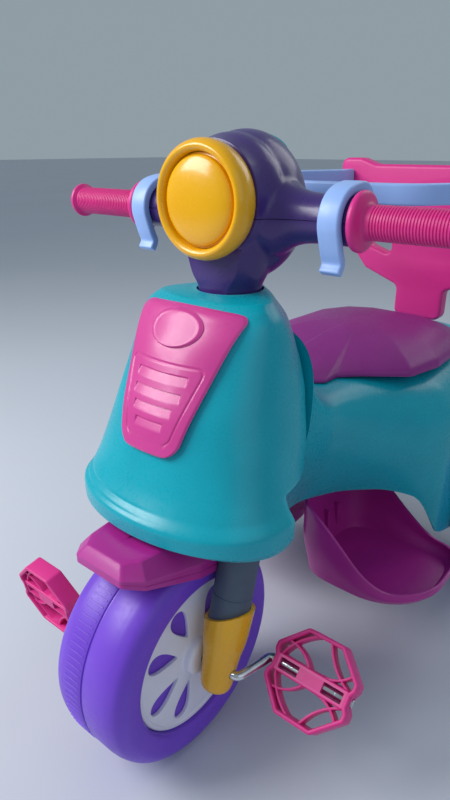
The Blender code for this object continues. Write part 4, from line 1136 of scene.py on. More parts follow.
@dataclass
class Head(SubAssembly):
    """Handlebar head with its headlight, grips and levers.

    Attributes:
        setback: Setback of the bulb's middle.
        height: Height of the bulb's middle.
        radius: Radius of the bulb.
        half_height: Half height of the bulb.
        stub_radius: Radius of the stub arms.
        grain: Size of the cells with which the moulding's parts are melted together.
    """

    setback: float = 0.122
    height: float = 0.550
    radius: float = 0.058
    half_height: float = 0.068
    neck_setback: float = 0.100
    neck_radius: float = 0.031
    neck_bottom: float = 0.466
    cap_lean: float = math.radians(32)
    stub_radius: float = 0.0205
    lever_at: float = 0.1098
    grain: float = 0.0017

    def __post_init__(self) -> None:
        """Take the places of bar, light and cap from their CAD nodes."""
        low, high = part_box("handlebar")
        self.bar = (low + high) / 2
        self.bar_half = (high.x - low.x) / 2
        low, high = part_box("headlight_bezel")
        self.light = (low + high) / 2
        self.light_radius = (high.z - low.z) / 2
        self.light_front, self.light_back = low.y, high.y
        low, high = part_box("head_lower")
        self.stub_end = high.x

    def blank(self) -> bpy.types.Object:
        """Bulb, neck, lamp housing and stub arms melted into one moulding."""
        ball = [(self.radius * math.cos(math.radians(90 - 5 * k)),
                 self.half_height * math.sin(math.radians(90 - 5 * k)))
                for k in range(1, 36)]
        ball = [(0, self.half_height)] + ball + [(0, -self.half_height)]
        bulb = lathe("bulb", ball, at(0, y_at(self.setback), self.height), 64)
        r, low = self.neck_radius, self.neck_bottom
        neck = spline([(r + 0.020, self.height - 0.010), (r + 0.013, self.height - 0.026),
                       (r + 0.006, low + 0.028),
                       (r, low + 0.014), (r, low - 0.004)], 5)
        collar = lathe("neck", [(0, self.height)] + [tuple(p) for p in neck] + [(0, low - 0.004)],
                       at(0, y_at(self.neck_setback), 0), 64)
        wide = self.light_radius
        cup = spline([(wide - 0.001, 0.006), (wide + 0.001, -0.008), (self.radius - 0.002, -0.030),
                      (self.radius - 0.014, -0.052)], 5)
        housing = lathe("housing", [(0, 0.006)] + [tuple(p) for p in cup] + [(0, -0.060)],
                        at(0, self.light_back, self.light.z) @ FORWARD, 64)
        half = spline([(self.stub_radius + 0.0004, self.stub_end + 0.003), (self.stub_radius + 0.0004, 0.088),
                       (self.stub_radius + 0.004, 0.066), (self.stub_radius + 0.014, 0.048)], 6)
        side = [tuple(p) for p in half]
        arms = lathe("arms", [(0, self.stub_end + 0.003)] + side + [(r, -x) for r, x in reversed(side)]
                     + [(0, -self.stub_end - 0.003)], at(*self.bar) @ ALONG_X, 64)
        cut(bulb, collar, housing, arms, operation="UNION")
        apply_modifier(bulb, "REMESH", mode="VOXEL", voxel_size=self.grain, adaptivity=0.0)
        return apply_modifier(bulb, "SMOOTH", factor=0.5, iterations=14)

    def trimmed(self, name: str, blank: bpy.types.Object,
                planes: Sequence[tuple[Vector, Vector]]) -> bpy.types.Object:
        """Copy of the moulding, cut by planes whose normals point at what is removed.

        Args:
            name: Name of the piece.
            blank: Moulding that is copied.
            planes: Point and normal of each plane.

        Returns:
            The new mesh object.
        """
        piece = blank.copy()
        piece.data = blank.data.copy()
        bpy.context.scene.collection.objects.link(piece)
        piece.name = name
        activate(piece)
        bpy.ops.object.mode_set(mode="EDIT")
        for point, normal in planes:
            bpy.ops.mesh.select_all(action="SELECT")
            bpy.ops.mesh.bisect(plane_co=point, plane_no=normal, use_fill=True, clear_outer=True)
        bpy.ops.object.mode_set(mode="OBJECT")
        return piece

    def shells(self) -> None:
        """Two half shells that meet in a fine joint at the height of the bar."""
        blank = self.blank()
        ends = [(Vector((0, self.light_back + 0.0003, 0)), Vector((0, -1, 0))),
                (Vector((self.stub_end, 0, 0)), Vector((1, 0, 0))), (Vector((-self.stub_end, 0, 0)),
                                                                     Vector((-1, 0, 0))),
                (Vector((0, 0, self.neck_bottom)), Vector((0, 0, -1)))]
        for name, sign in (("head_lower", 1), ("head_upper", -1)):
            seam = (Vector((0, 0, self.bar.z - sign * 0.0003)), Vector((0, 0, sign)))
            piece = self.trimmed(name, blank, ends + [seam])
            rounded(piece, 0.0006, 2, 60)
            self.keep(piece, Finish.DARK_VIOLET, name, angle=50)
        bpy.data.objects.remove(blank)

    def cap(self) -> None:
        """Domed teal cap at the upper rear of the head."""
        lean = Matrix.Rotation(-self.cap_lean, 4, "X")
        reach = 1 / math.hypot(math.sin(self.cap_lean) / self.radius,
                               math.cos(self.cap_lean) / self.half_height)
        middle = Vector((0, y_at(self.setback), self.height)) + lean @ Vector((0, 0, reach - 0.001))
        dome = spline([(0.0001, 0.004), (0.0126, 0.0031), (0.0185, 0.0016), (0.0205, 0.0004),
                       (0.021, -0.0008)], 5)
        profile = [(0, 0.004)] + [tuple(p) for p in dome] + [(0.021, -0.0037), (0, -0.0037)]
        self.keep(lathe("head_cap", profile, at(*middle) @ lean, 64), Finish.TEAL, "head_cap")

    def headlight(self) -> None:
        """Deep rounded bezel, a groove and a domed lens."""
        depth = self.light_back - self.light_front
        low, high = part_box("headlight_lens")
        lens = (high.z - low.z) / 2
        placing = at(0, self.light_back, self.light.z) @ FORWARD
        r = self.light_radius
        rim = spline([(lens + 0.0003, depth - 0.0052), (lens + 0.0014, depth - 0.0022),
                      (lens + 0.0040, depth - 0.0003),
                      (lens + 0.0066, depth - 0.0008), (r - 0.0014, depth - 0.0042), (r, depth - 0.0095),
                      (r - 0.0004, depth - 0.0150), (r - 0.0020, 0.0012), (r - 0.0030, 0.0)], 6)
        self.keep(lathe("headlight_bezel", [tuple(p) for p in rim] + [(lens + 0.0003, 0.0)], placing, 128),
                  Finish.YELLOW, "headlight_bezel", angle=50)
        rise = (low.y - self.light_front) * -1
        dome = [(0, depth + rise)]
        dome += [((lens - 0.0022) * math.sin(math.pi / 2 * k / 16),
                  depth - 0.0052 + (rise + 0.0052) * math.cos(math.pi / 2 * k / 16)) for k in range(1, 17)]
        profile = dome + [(lens - 0.0020, depth - 0.0072), (lens - 0.0003, depth - 0.0078),
                          (lens, depth - 0.0090),
                          (lens, 0.0003), (0, 0.0003)]
        self.keep(lathe("headlight_lens", profile, placing, 128), Finish.YELLOW, "headlight_lens", angle=50)

    def grip(self, label: str, side: int) -> None:
        """Soft grip: thick flange, fine rings along the barrel and a rounded end.

        Args:
            label: left or right.
            side: 1 for the left, -1 for the right.
        """
        start, end, barrel = self.stub_end + 0.0003, self.bar_half + 0.003, 0.0143
        line = [(0, end), (0.0150, end), (0.0172, end - 0.0008), (0.0180, end - 0.0026),
                (0.0178, end - 0.0046),
                (0.0160, end - 0.0062), (barrel, end - 0.0076)]
        pitch = 0.0026
        x = end - 0.0094
        while x > start + 0.0145:
            line += [(barrel, x), (barrel - 0.0009, x - 0.0006), (barrel - 0.0009, x - 0.0010),
                     (barrel, x - 0.0015)]
            x -= pitch
        flange = spline([(barrel, start + 0.0110), (barrel + 0.0016, start + 0.0082),
                         (0.0226, start + 0.0060),
                         (0.0246, start + 0.0042), (0.0250, start + 0.0020), (0.0244, start)], 4)
        line += [tuple(p) for p in flange] + [(0.0098, start), (0.0098, end - 0.0027), (0, end - 0.0027)]
        placing = at(*self.bar) @ Matrix.Rotation(side * math.pi / 2, 4, "Y")
        self.keep(lathe(f"grip_{label}", line, placing, 72), Finish.PINK, f"grip_{label}", angle=28)

    def lever(self, label: str, side: int) -> None:
        """Broad strap that hooks over the stub arm, with a flick at its lower end.

        Args:
            label: left or right.
            side: 1 for the left, -1 for the right.
        """
        thick, inner = 0.0080, self.stub_radius + 0.0003
        middle = inner + thick / 2
        centre = Vector((side * self.lever_at, self.bar.y, self.bar.z))
        points = []
        for step in range(15):
            turn = math.radians(14 + 186 * step / 14)
            knuckle = math.exp(-((turn - math.radians(42)) / math.radians(32)) ** 2)
            reach = (inner + thick) * (1 + 0.30 * knuckle)
            points.append(((reach - thick / 2) * math.cos(turn), (reach - thick / 2) * math.sin(turn)))
        points += [(-middle * 0.72, -0.0240), (-middle * 0.56, -0.0335), (-middle * 0.74, -0.0420)]
        route = [centre + Vector((0, p.x, p.y)) for p in spline(points, 3)]
        piece = sweep(f"brake_lever_{label}", route, pill(thick, 0.020, 0.0022, 4), Vector((1, 0, 0)))
        self.keep(rounded(piece, 0.0014, 3, 60), Finish.SKY, f"brake_lever_{label}", angle=50)

    def build(self) -> None:
        """Build the head."""
        self.shells()
        self.cap()
        self.headlight()
        for label, side in (("left", 1), ("right", -1)):
            self.grip(label, side)
            self.lever(label, side)


# ---------------------------------------------------------------- body
@dataclass
class Shield(SubAssembly):
    """Leg shield with a rolled lip, its slotted panel and round badge.

    Attributes:
        sections: Height, half width, front, widest and back setback, and fullness of the rear half.
        creases: Heights of the two soft creases above the lip.
        crease_band: Lowest and highest section that are drawn finely for the creases.
        crease_depth: Depth of a crease as a share of the half width.
        crease_width: Half width of a crease.
        core: Setback of the shield's middle, towards which the creases sink.
        neck_hole: Setback and radius of the hole for the neck.
        window: Setback and height where the opening for the fork ends.
        lip_rise: How much higher the lip's lower edge is at the front.
        seam: Setback of the joint with the rear body at the bottom.
        seam_slope: Lean of that joint.
        slots: Height and half width of each slot of the panel.
    """

    sections: list[tuple[float, ...]] = field(default_factory=lambda: [
        (0.263, 0.1165, -0.046, 0.034, 0.1100, 1.00), (0.272, 0.1200, -0.050, 0.036, 0.1120, 1.00),
        (0.288, 0.1205, -0.050, 0.036, 0.1142, 1.00), (0.302, 0.1120, -0.040, 0.036, 0.1162, 0.80),
        (0.318, 0.1065, -0.031, 0.040, 0.1184, 0.55), (0.350, 0.0985, -0.019, 0.050, 0.1229, 0.42),
        (0.380, 0.0915, -0.010, 0.060, 0.1271, 0.42), (0.410, 0.0860, 0.004, 0.067, 0.1313, 0.62),
        (0.440, 0.0810, 0.019, 0.072, 0.1348, 1.30), (0.458, 0.0765, 0.031, 0.070, 0.1370, 1.90),
        (0.468, 0.0690, 0.038, 0.070, 0.1375, 2.50), (0.4745, 0.0610, 0.048, 0.075, 0.1378, 3.00)])
    lip_rise: float = 0.011
    seam: float = 0.110
    seam_slope: float = 0.14
    wall: float = 0.003
    fit: float = 0.0003
    creases: tuple[float, float] = (0.2945, 0.3005)
    crease_band: tuple[float, float] = (0.291, 0.304)
    crease_depth: float = 0.011
    crease_width: float = 0.0013
    core: float = 0.04
    neck_hole: tuple[float, float] = (0.100, 0.0327)
    window: tuple[float, float] = (0.046, 0.312)
    panel_gap: float = 0.0018
    panel_thickness: float = 0.004
    panel_rows: tuple[float, float] = (0.349, 0.4722)
    panel_half_widths: tuple[float, float] = (0.034, 0.064)
    slots: tuple[tuple[float, float], ...] = ((0.415, 0.030), (0.401, 0.028), (0.388, 0.023), (0.375, 0.017))

    def __post_init__(self) -> None:
        """Blend the sections into fine rows."""
        self.rows = smooth_rows(self.sections, 7)

    def ring(self, height: float, count: int = 120) -> list[Vector]:
        """Plan outline of the shield at a height.

        Args:
            height: Height of the section.
            count: Points round it.

        Returns:
            Points, anticlockwise from the left side.
        """
        half_width, front, widest, back, fullness = blended(self.rows, height)[1:]
        back = min(back, self.seam + self.seam_slope * (height - self.sections[0][0])) - self.fit
        outline = []
        for step in range(count):
            turn = math.tau * step / count
            c, s = math.cos(turn), math.sin(turn)
            if s > 0:
                x = half_width * math.copysign(abs(c) ** fullness, c)
                setback = widest + (back - widest) * min(1.0, 1.25 * s)
            else:
                x = half_width * c
                setback = widest - (widest - front) * abs(s) ** 0.85
            rise = self.lip_rise * max(0.0, -s) * max(0.0, 1 - (height - self.sections[0][0]) / 0.014)
            sunk = 1 - self.crease_depth * smooth_step((0.45 - c) / 0.9) * sum(
                math.exp(-((height - crease) / self.crease_width) ** 2) for crease in self.creases)
            outline.append(Vector((x * sunk, y_at(self.core + (setback - self.core) * sunk), height + rise)))
        return outline

    def front_y(self, x: float, height: float) -> float:
        """Y of the shield's front surface at a place.

        Args:
            x: Distance from the middle plane.
            height: Height.

        Returns:
            World Y of the surface.
        """
        half_width, front, widest = blended(self.rows, height)[1:4]
        c = min(1.0, abs(x) / half_width)
        return y_at(widest - (widest - front) * (1 - c * c) ** 0.425)

    def shell(self) -> None:
        """The shield itself: domed up to the neck, and open below and to the rear for the fork."""
        low, high = self.crease_band
        heights = [row[0] for row in self.rows if not low < row[0] < high]
        heights += [low + 0.0002 + 0.0007 * step for step in range(19)]
        rings = [self.ring(height) for height in sorted(heights)]
        count, top = len(rings[-1]), self.sections[-1][0]
        setback, radius = self.neck_hole
        turns = [math.tau * k / count for k in range(count)]
        hole = [Vector((radius * math.cos(turn), y_at(setback + radius * math.sin(turn)),
                        top)) for turn in turns]
        edge = rings[-1]
        for step in range(1, 9):
            share = step / 8
            lift = Vector((0, 0, 0.0026 * math.sin(share * math.pi / 2)))
            rings.append([p.lerp(q, share) + lift for p, q in zip(edge, hole)])
        piece = skin("front_shield", rings, cap=False)
        walled(piece, self.wall)
        front, high = self.window
        cut(piece, block("window", (0.4, 0.2, 0.1), at(0, y_at(front + 0.1), high - 0.05), 0.003))
        self.keep(rounded(piece, 0.0009, 3, 50), Finish.TEAL, "front_shield", angle=50)

    def panel_half_width(self, height: float, corner: float = 0.014) -> float:
        """Half width of the panel at a height, with rounded corners.

        Args:
            height: Height.
            corner: Radius of the corners.

        Returns:
            The half width.
        """
        low, high = self.panel_rows
        share = (height - low) / (high - low)
        width = self.panel_half_widths[0] + (self.panel_half_widths[1] - self.panel_half_widths[0]) * share
        near = max(0.0, corner - min(height - low, (high - height) * 1.6))
        return width - corner + math.sqrt(max(0.0, corner ** 2 - near ** 2))

    def panel_depth(self, x: float, height: float) -> float:
        """How far the panel's face is sunk at a place: slots and the fine lines around them.

        Args:
            x: Distance from the middle plane.
            height: Height.

        Returns:
            The depth.
        """
        depth = 0.0
        for middle, half in self.slots:
            top, bottom = middle + 0.0030, middle - 0.0052
            ramp = min(1.0, max(0.0, (height - bottom) / (top - bottom)))
            inside = smooth_step((top - height) / 0.0007) * smooth_step((half - abs(x)) / 0.0010)
            depth = max(depth, 0.0019 * ramp * inside)
        low, high = min(self.slots)[0] - 0.0150, max(self.slots)[0] + 0.0105
        edge = 0.0255 + 0.0185 * (height - low) / (high - low)
        round_by = 0.007
        away_x = abs(x) - edge + round_by
        away_z = max(low - height, height - high) + round_by
        away = math.hypot(max(0.0, away_x), max(0.0, away_z)) + min(0.0, max(away_x, away_z)) - round_by
        return max(depth, 0.0009 * smooth_step(1.5 - abs(away) / 0.0008))

    def panel(self) -> None:
        """Glossy panel with four slots inside a fine border."""
        low, high = self.panel_rows
        corner = 0.012
        heights = [low + corner * (1 - math.cos(math.pi / 2 * k / 8)) for k in range(8)]
        heights += [low + corner + (high - low - corner * 1.3) * k / 150 for k in range(151)]
        heights += [high - corner * 0.3 * (1 - math.sin(math.pi / 2 * k / 6)) for k in range(1, 7)]
        rings = []
        for height in heights:
            half = max(0.002, self.panel_half_width(height))
            ring = []
            for step in range(141):
                x = half * (step / 70 - 1)
                edge = 0.0012 * smooth_step(1 - (half - abs(x)) / 0.0022)
                edge = max(edge, 0.0012 * smooth_step(1 - min(height - low, high - height) / 0.0016))
                y = self.front_y(x, height) - self.panel_gap - self.panel_thickness
                arch = 0.0030 * (x / half) ** 2 * smooth_step((height - high + 0.03) / 0.03)
                ring.append((x, y + edge + self.panel_depth(x, height), height - arch))
            rings.append(ring)
        piece = skin("shield_panel", rings, around=False, cap=False)
        if piece.data.polygons[len(piece.data.polygons) // 2].normal.y > 0:
            piece.data.flip_normals()
        walled(piece, 0.0030)
        self.keep(piece, Finish.ROSE, "shield_panel", angle=60)

    def badge(self) -> None:
        """Oval badge with a raised rim and a crease down its middle."""
        low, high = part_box("panel_badge")
        middle, radius, flat = (low.z + high.z) / 2, (high.x - low.x) / 2, (high.z - low.z) / (high.x - low.x)
        rings = []
        for k in range(25):
            share = k / 24
            r = radius * share
            bead, fall = smooth_step(1 - abs(share - 0.88) / 0.09), smooth_step((share - 0.94) / 0.06)
            rim = 0.0006 * bead - 0.0010 * fall
            ring = []
            for step in range(72):
                turn = math.tau * step / 72
                x, z = r * math.cos(turn), middle + flat * r * math.sin(turn)
                crease = 0.0020 * (1 - abs(x) / radius) * min(1.0, (1 - share) / 0.2)
                y = self.front_y(x, z) - self.panel_gap - self.panel_thickness - 0.0016 - rim - crease
                ring.append((x, y, z))
            rings.append(ring)
        piece = skin("panel_badge", rings, cap=False)
        if sum(p.normal.y * p.area for p in piece.data.polygons) > 0:
            piece.data.flip_normals()
        walled(piece, 0.0014)
        self.keep(piece, Finish.ROSE, "panel_badge", angle=25)

    def build(self) -> None:
        """Build the shield."""
        self.shell()
        self.panel()
        self.badge()


@dataclass
class Saddle(SubAssembly):
    """Rear body, seat, backrest, safety ring and footrests.

    Attributes:
        sections: Setback, half width, half width at the lower edge, lower edge, widest height and top.
    """

    sections: list[tuple[float, ...]] = field(default_factory=lambda: [
        (0.1103, 0.084, 0.046, 0.212, 0.345, 0.440), (0.135, 0.080, 0.036, 0.204, 0.335, 0.392),
        (0.190, 0.074, 0.030, 0.202, 0.318, 0.351), (0.240, 0.088, 0.050, 0.202, 0.295, 0.351),
        (0.285, 0.114, 0.086, 0.200, 0.270, 0.351), (0.325, 0.138, 0.124, 0.185, 0.255, 0.351),
        (0.365, 0.150, 0.147, 0.120, 0.250, 0.351), (0.430, 0.150, 0.147, 0.095, 0.250, 0.351),
        (0.505, 0.148, 0.145, 0.072, 0.250, 0.351), (0.565, 0.136, 0.132, 0.076, 0.245, 0.351),
        (0.592, 0.115, 0.110, 0.095, 0.240, 0.345), (0.608, 0.090, 0.086, 0.120, 0.235, 0.318)])
    seam_slope: float = 0.14
    shield_bottom: float = 0.263
    wall: float = 0.003
    deck: float = 0.351
    seat_front: float = 0.205
    seat_step: float = 0.262
    seat_rear: float = 0.520
    seat_half: float = 0.120
    nose_half: float = 0.040
    seat_crown: float = 0.036

    def rear_body(self) -> None:
        """Saddle body, narrow between the knees and open below, with the axle hole."""
        rings = []
        for row in smooth_rows(self.sections, 6):
            setback, half_width, low_width, low, widest, top = row
            lean = self.seam_slope * max(0.0, 1 - (setback - self.sections[0][0]) / 0.14)
            half = []
            for k in range(13):
                t = k / 12
                a, b = (low_width, low), ((low_width + half_width * 2) / 3, (low + widest) / 2)
                c = (half_width, widest)
                half.append(tuple((1 - t) ** 2 * p + 2 * t * (1 - t) * (2 * q - (p + s) / 2) + t * t * s
                                  for p, q, s in zip(a, b, c)))
            for k in range(1, 29):
                turn = math.pi / 2 * k / 28
                half.append((half_width * max(0.0, math.cos(turn)) ** 0.62,
                             widest + (top - widest) * math.sin(turn) ** 0.62))
            outline = half + [(-x, z) for x, z in reversed(half[:-1])]
            rings.append([(x, y_at(setback + lean * (z - self.shield_bottom)), z) for x, z in outline])
        for end in (0, -1):
            ring = rings[end]
            inner = [[(x * share, y, z) for x, y, z in ring] for share in (0.985, 0.9, 0.5, 0.02)]
            rings = list(reversed(inner)) + rings if end == 0 else rings + inner
        piece = skin("rear_body", rings, around=False, cap=False)
        if sum(p.normal.z * p.area for p in piece.data.polygons) < 0:
            piece.data.flip_normals()
        walled(piece, self.wall)
        low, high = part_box("rear_axle")
        axle = (low + high) / 2
        cut(piece, rod("bore", (high.z - low.z) / 2 + 0.0003, 0.6, at(*axle) @ ALONG_X))
        self.keep(piece, Finish.TEAL, "rear_body", angle=50)

    def seat(self) -> None:
        """Saddle with a low narrow nose and a crown that swells to the rear."""
        half = [(0.018, self.seat_front), (self.nose_half, self.seat_front + 0.020),
                (self.nose_half + 0.001, self.seat_step - 0.012), (self.nose_half + 0.020,
                                                                   self.seat_step + 0.008),
                (self.seat_half - 0.012, self.seat_step + 0.045), (self.seat_half, self.seat_step + 0.100),
                (self.seat_half - 0.004, self.seat_rear - 0.070), (self.seat_half - 0.030,
                                                                   self.seat_rear - 0.022),
                (0.045, self.seat_rear)]
        corners = [Vector((x, s, 0)) for x, s in mirrored(half)]
        outline = rounded_route(corners, 0.009, 6, closed=True)
        profile = spline([(0.0, 0.0), (0.0, 0.08), (0.002, 0.16), (0.012, 0.25), (0.04, 0.36), (0.13, 0.57),
                          (0.28, 0.77), (0.48, 0.91), (0.74, 0.99), (0.985, 1.0)], 4)
        base = self.deck + 0.0003
        middle = self.seat_front + 0.58 * (self.seat_rear - self.seat_front)
        rings = []
        for inset, rise in profile:
            ring = []
            for p in outline:
                setback = p.y + (middle - p.y) * inset
                tall = 0.30 + 0.70 * smooth_step((setback - self.seat_front) / 0.16)
                ring.append((p.x * (1 - inset), y_at(setback), base + self.seat_crown * tall * rise))
            rings.append(ring)
        piece = skin("seat", rings)
        self.keep(piece, Finish.PLUM, "seat", angle=60)

    def backrest(self) -> None:
        """Frame on a stem with a thick rounded top bar and two windows."""
        low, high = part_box("backrest")
        bottom, top, wide, stem, foot = low.z, high.z, high.x, 0.038, 0.398
        half = [(stem, bottom), (stem, foot), (0.095, foot + 0.022), (wide - 0.014, foot + 0.070),
                (wide, 0.535),
                (wide, top), (wide - 0.034, top), (wide - 0.060, top - 0.009)]
        window = [(0.052, foot + 0.046), (0.088, foot + 0.058), (0.116, foot + 0.094), (0.118, 0.533),
                  (0.058, 0.533)]
        outlines = [self.corners(mirrored(half), 0.011)]
        outlines.append(self.corners(window, 0.008))
        outlines.append([Vector((-p.x, p.y, 0)) for p in outlines[1]])
        curve = bpy.data.curves.new("backrest", "CURVE")
        curve.dimensions = "2D"
        curve.fill_mode = "BOTH"
        rim = 0.0055
        curve.extrude = (high.y - low.y) / 2 - rim
        curve.bevel_depth = rim
        curve.bevel_resolution = 4
        curve.offset = -rim
        for outline in outlines:
            line = curve.splines.new("POLY")
            line.points.add(len(outline) - 1)
            line.use_cyclic_u = True
            for point, p in zip(line.points, outline):
                point.co = (p.x, p.y, 0, 1)
        drawn = bpy.data.objects.new("backrest", curve)
        bpy.context.scene.collection.objects.link(drawn)
        activate(drawn)
        bpy.ops.object.convert(target="MESH")
        piece = closed_up(started("backrest"))
        piece.data.transform(at(0, (low.y + high.y) / 2, 0) @ FORWARD)
        self.keep(piece, Finish.PINK, "backrest", angle=50)

    def corners(self, points: Sequence[Point], radius: float) -> list[Vector]:
        """Round the corners of a closed flat outline."""
        return rounded_route([Vector((x, y, 0)) for x, y in points], radius, 6, closed=True)

    def safety_ring(self) -> None:
        """Band around the child's waist."""
        low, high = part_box("safety_ring")
        back_low, back_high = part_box("backrest")
        end = back_low.y - FRONT_AXLE.y - 0.0003
        front = low.y - FRONT_AXLE.y + 0.0055
        wide, join = high.x - 0.0055, back_high.x
        half = [(join - 0.018, end), (join - 0.016, end - 0.030), (wide, end - 0.150), (wide, front + 0.090),
                (wide - 0.050, front + 0.012), (0.060, front)]
        route = [Vector((-x, y_at(s), (low.z + high.z) / 2)) for x, s in half]
        route += [Vector((x, y_at(s), (low.z + high.z) / 2)) for x, s in reversed(half)]
        tall, deep = high.z - low.z, 0.011
        section = pill(deep, tall, 0.0026, 4)
        piece = sweep("safety_ring", rounded_route(route, 0.045, 12), section, Vector((0, 0, 1)))
        self.keep(piece, Finish.SKY, "safety_ring", angle=50)

    def footrest(self, label: str, side: int) -> None:
        """Scooped step whose rim falls from the inside to the outside, with three ribs in it.

        Args:
            label: left or right.
            side: 1 for the left, -1 for the right.
        """
        node = f"footrest_{label}"
        low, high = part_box(node)
        inner, outer = (low.x, high.x) if side > 0 else (-high.x, -low.x)
        front, rear = low.y - FRONT_AXLE.y, high.y - FRONT_AXLE.y
        bottom, rim_low, rim_high = low.z, 0.118, high.z
        half_width, half_length = (outer - inner) / 2, (rear - front) / 2
        levels = [k / 10 for k in range(11)]
        outside, inside = [], []
        for rise in levels:
            scale = 0.90 + 0.10 * smooth_step(rise / 0.6) ** 0.7
            rows = ([], [])
            for step in range(112):
                turn = math.tau * step / 112
                c, s = math.cos(turn), math.sin(turn)
                power = 1.0 if c > 0 > s else 0.45
                ux, uy = math.copysign(abs(c) ** power, c), math.copysign(abs(s) ** power, s)
                rim = rim_low + (rim_high - rim_low) * smooth_step((0.62 - ux) / 1.5)
                for row, trim in zip(rows, (0.0, self.wall)):
                    floor = bottom + trim
                    row.append((side * ((inner + outer) / 2 + (half_width * scale - trim) * ux),
                                y_at((front + rear) / 2 + (half_length * scale - trim) * uy),
                                floor + (rim - floor) * rise))
            outside.append(rows[0])
            inside.append(rows[1])
        shell = skin(node, outside + list(reversed(inside)))
        rounded(shell, 0.0008, 2, 60)
        wall_x = side * ((inner + outer) / 2 - half_width * 0.955 + self.wall)
        ribs = [block("rib", (0.008, 0.004, 0.034), at(wall_x, y_at((front + rear) / 2 + shift),
                                                       bottom + 0.036),
                      0.0014) for shift in (-0.026, 0.0, 0.026)]
        piece = joined(node, [shell] + ribs)
        self.keep(piece, Finish.MAGENTA, node, angle=45)

    def build(self) -> None:
        """Build the body behind the shield."""
        self.rear_body()
        self.seat()
        self.backrest()
        self.safety_ring()
        for label, side in (("left", 1), ("right", -1)):
            self.footrest(label, side)


@dataclass
class RunningGear(SubAssembly):
    """Rear axle, its caps and the pieces inside the body."""

    def cap(self, node: str, side: int) -> None:
        """Domed push-on cap on the end of the rear axle."""
        low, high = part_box(node)
        middle = (low + high) / 2
        deep, radius = high.x - low.x, (high.z - low.z) / 2
        dome = spline([(0.0001, deep), (radius * 0.45, deep - 0.0004), (radius * 0.82, deep - 0.0022),
                       (radius * 0.97, deep - 0.0046), (radius, 0.0016), (radius - 0.0006, 0.0)], 5)
        profile = [(0, deep)] + [tuple(p) for p in dome] + [(0.0053, 0.0), (0.0053, deep * 0.48),
                                                            (0, deep * 0.48)]
        start = low.x if side > 0 else high.x
        piece = lathe(node, profile, at(start, middle.y, middle.z) @ Matrix.Rotation(side * math.pi / 2, 4,
                                                                                     "Y"), 64)
        self.keep(piece, Finish.WHITE, node)

    def carried_over(self) -> None:
        """Dress the CAD nodes whose shape is already right: rods, tube and bushes."""
        finishes = {"rear_axle": Finish.STEEL, "steering_column": Finish.STEEL, "handlebar": Finish.STEEL,
                    "steering_tube": Finish.GREY, "steering_bush_upper": Finish.WHITE,
                    "steering_bush_lower": Finish.WHITE}
        for node, finish in finishes.items():
            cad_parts[node].material_slots[0].material = material_of(finish)
            LOG.info("%s carried over", node)

    def build(self) -> None:
        """Build the running gear."""
        for label, side in (("left", 1), ("right", -1)):
            self.cap(f"axle_cap_{label}", side)
        self.carried_over()


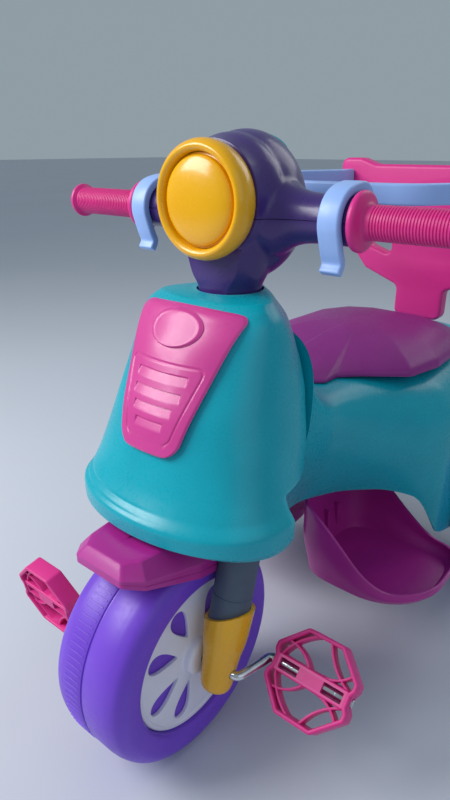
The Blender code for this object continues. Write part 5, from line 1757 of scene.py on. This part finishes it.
# ---------------------------------------------------------------- studio
@dataclass
class Studio:
    """Pale floor, soft lights and the camera."""

    camera_at: tuple[float, float, float] = (0.367, -0.599, 0.602)
    camera_turn: tuple[float, float, float] = (math.radians(67.47), 0.0, math.radians(39.39))
    lens: float = 27.42

    def floor(self) -> None:
        """Wide pale floor just under the wheels."""
        deselect()
        bpy.ops.mesh.primitive_plane_add(size=60, location=(0, 0, -0.0005))
        piece = started("floor")
        piece.data.materials.append(PaleSheet("matt_vinyl_floor_pale", "#CDD0DA", "#C4C7D2").make())

    def world(self) -> None:
        """Even pale surroundings."""
        made = bpy.data.worlds.new("soft_room")
        made.use_nodes = True
        shader = made.node_tree.nodes["Background"]
        shader.inputs["Color"].default_value = srgb("#B6C6D0")
        shader.inputs["Strength"].default_value = 0.60
        bpy.context.scene.world = made
        bpy.context.scene.view_settings.view_transform = "Standard"

    def lamp(self, name: str, place: Vector, size: float, power: float, colour: str) -> None:
        """Square soft light that looks at the tricycle's middle.

        Args:
            name: Name of the light.
            place: Where it hangs.
            size: Length of its sides.
            power: Power in watts.
            colour: Colour as sRGB hex.
        """
        light = bpy.data.lights.new(name, "AREA")
        light.size = size
        light.energy = power
        light.color = srgb(colour)[:3]
        piece = bpy.data.objects.new(name, light)
        piece.location = place
        piece.rotation_euler = (Vector((0, -0.05, 0.3)) - place).to_track_quat("-Z", "Y").to_euler()
        bpy.context.scene.collection.objects.link(piece)

    def camera(self) -> None:
        """Camera at the height of an adult who looks down at the front left quarter."""
        lens = bpy.data.cameras.new("camera")
        lens.lens = self.lens
        lens.clip_start = 0.02
        piece = bpy.data.objects.new("camera", lens)
        piece.location = self.camera_at
        piece.rotation_euler = self.camera_turn
        bpy.context.scene.collection.objects.link(piece)
        bpy.context.scene.camera = piece

    def build(self) -> None:
        """Build the studio."""
        self.camera()
        self.floor()
        self.world()
        self.lamp("window", Vector((-1.1, -1.3, 1.5)), 1.1, 40, "#FFFFFF")
        self.lamp("fill", Vector((1.6, -0.7, 1.2)), 1.6, 4, "#EEF2FF")
        self.lamp("rear", Vector((0.4, 1.6, 1.7)), 1.2, 8, "#FFFFFF")


def both_sides(stem: str, windowed: bool) -> list[tuple[str, int, bool]]:
    """Disc nodes of the front wheel."""
    return [(f"{stem}_left", 1, windowed), (f"{stem}_right", -1, windowed)]


def build_all() -> None:
    """Build every sub-assembly in order."""
    Studio().build()
    Wheel("front_wheel", "front_tyre", 0.034, 0.084, 0.0215, 0.0485, 0.0048, both_sides("front_disc", True),
          ticks=110).build()
    for label, side in (("left", 1), ("right", -1)):
        discs = [(f"rear_disc_{label}_outer", side, True), (f"rear_disc_{label}_inner", -side, False)]
        Wheel(f"rear_wheel_{label}", f"rear_tyre_{label}", 0.016, 0.066, 0.014, 0.0235, 0.0055, discs).build()
    Drive("front_wheel").build()
    Fork("steering").build()
    Head("steering").build()
    Shield("body").build()
    Saddle("body").build()
    RunningGear("body").build()


def main() -> None:
    """Build the scene and report each piece."""
    logging.basicConfig(level=logging.INFO, format="%(message)s")
    build_all()


if __name__ == "__main__":
    main()
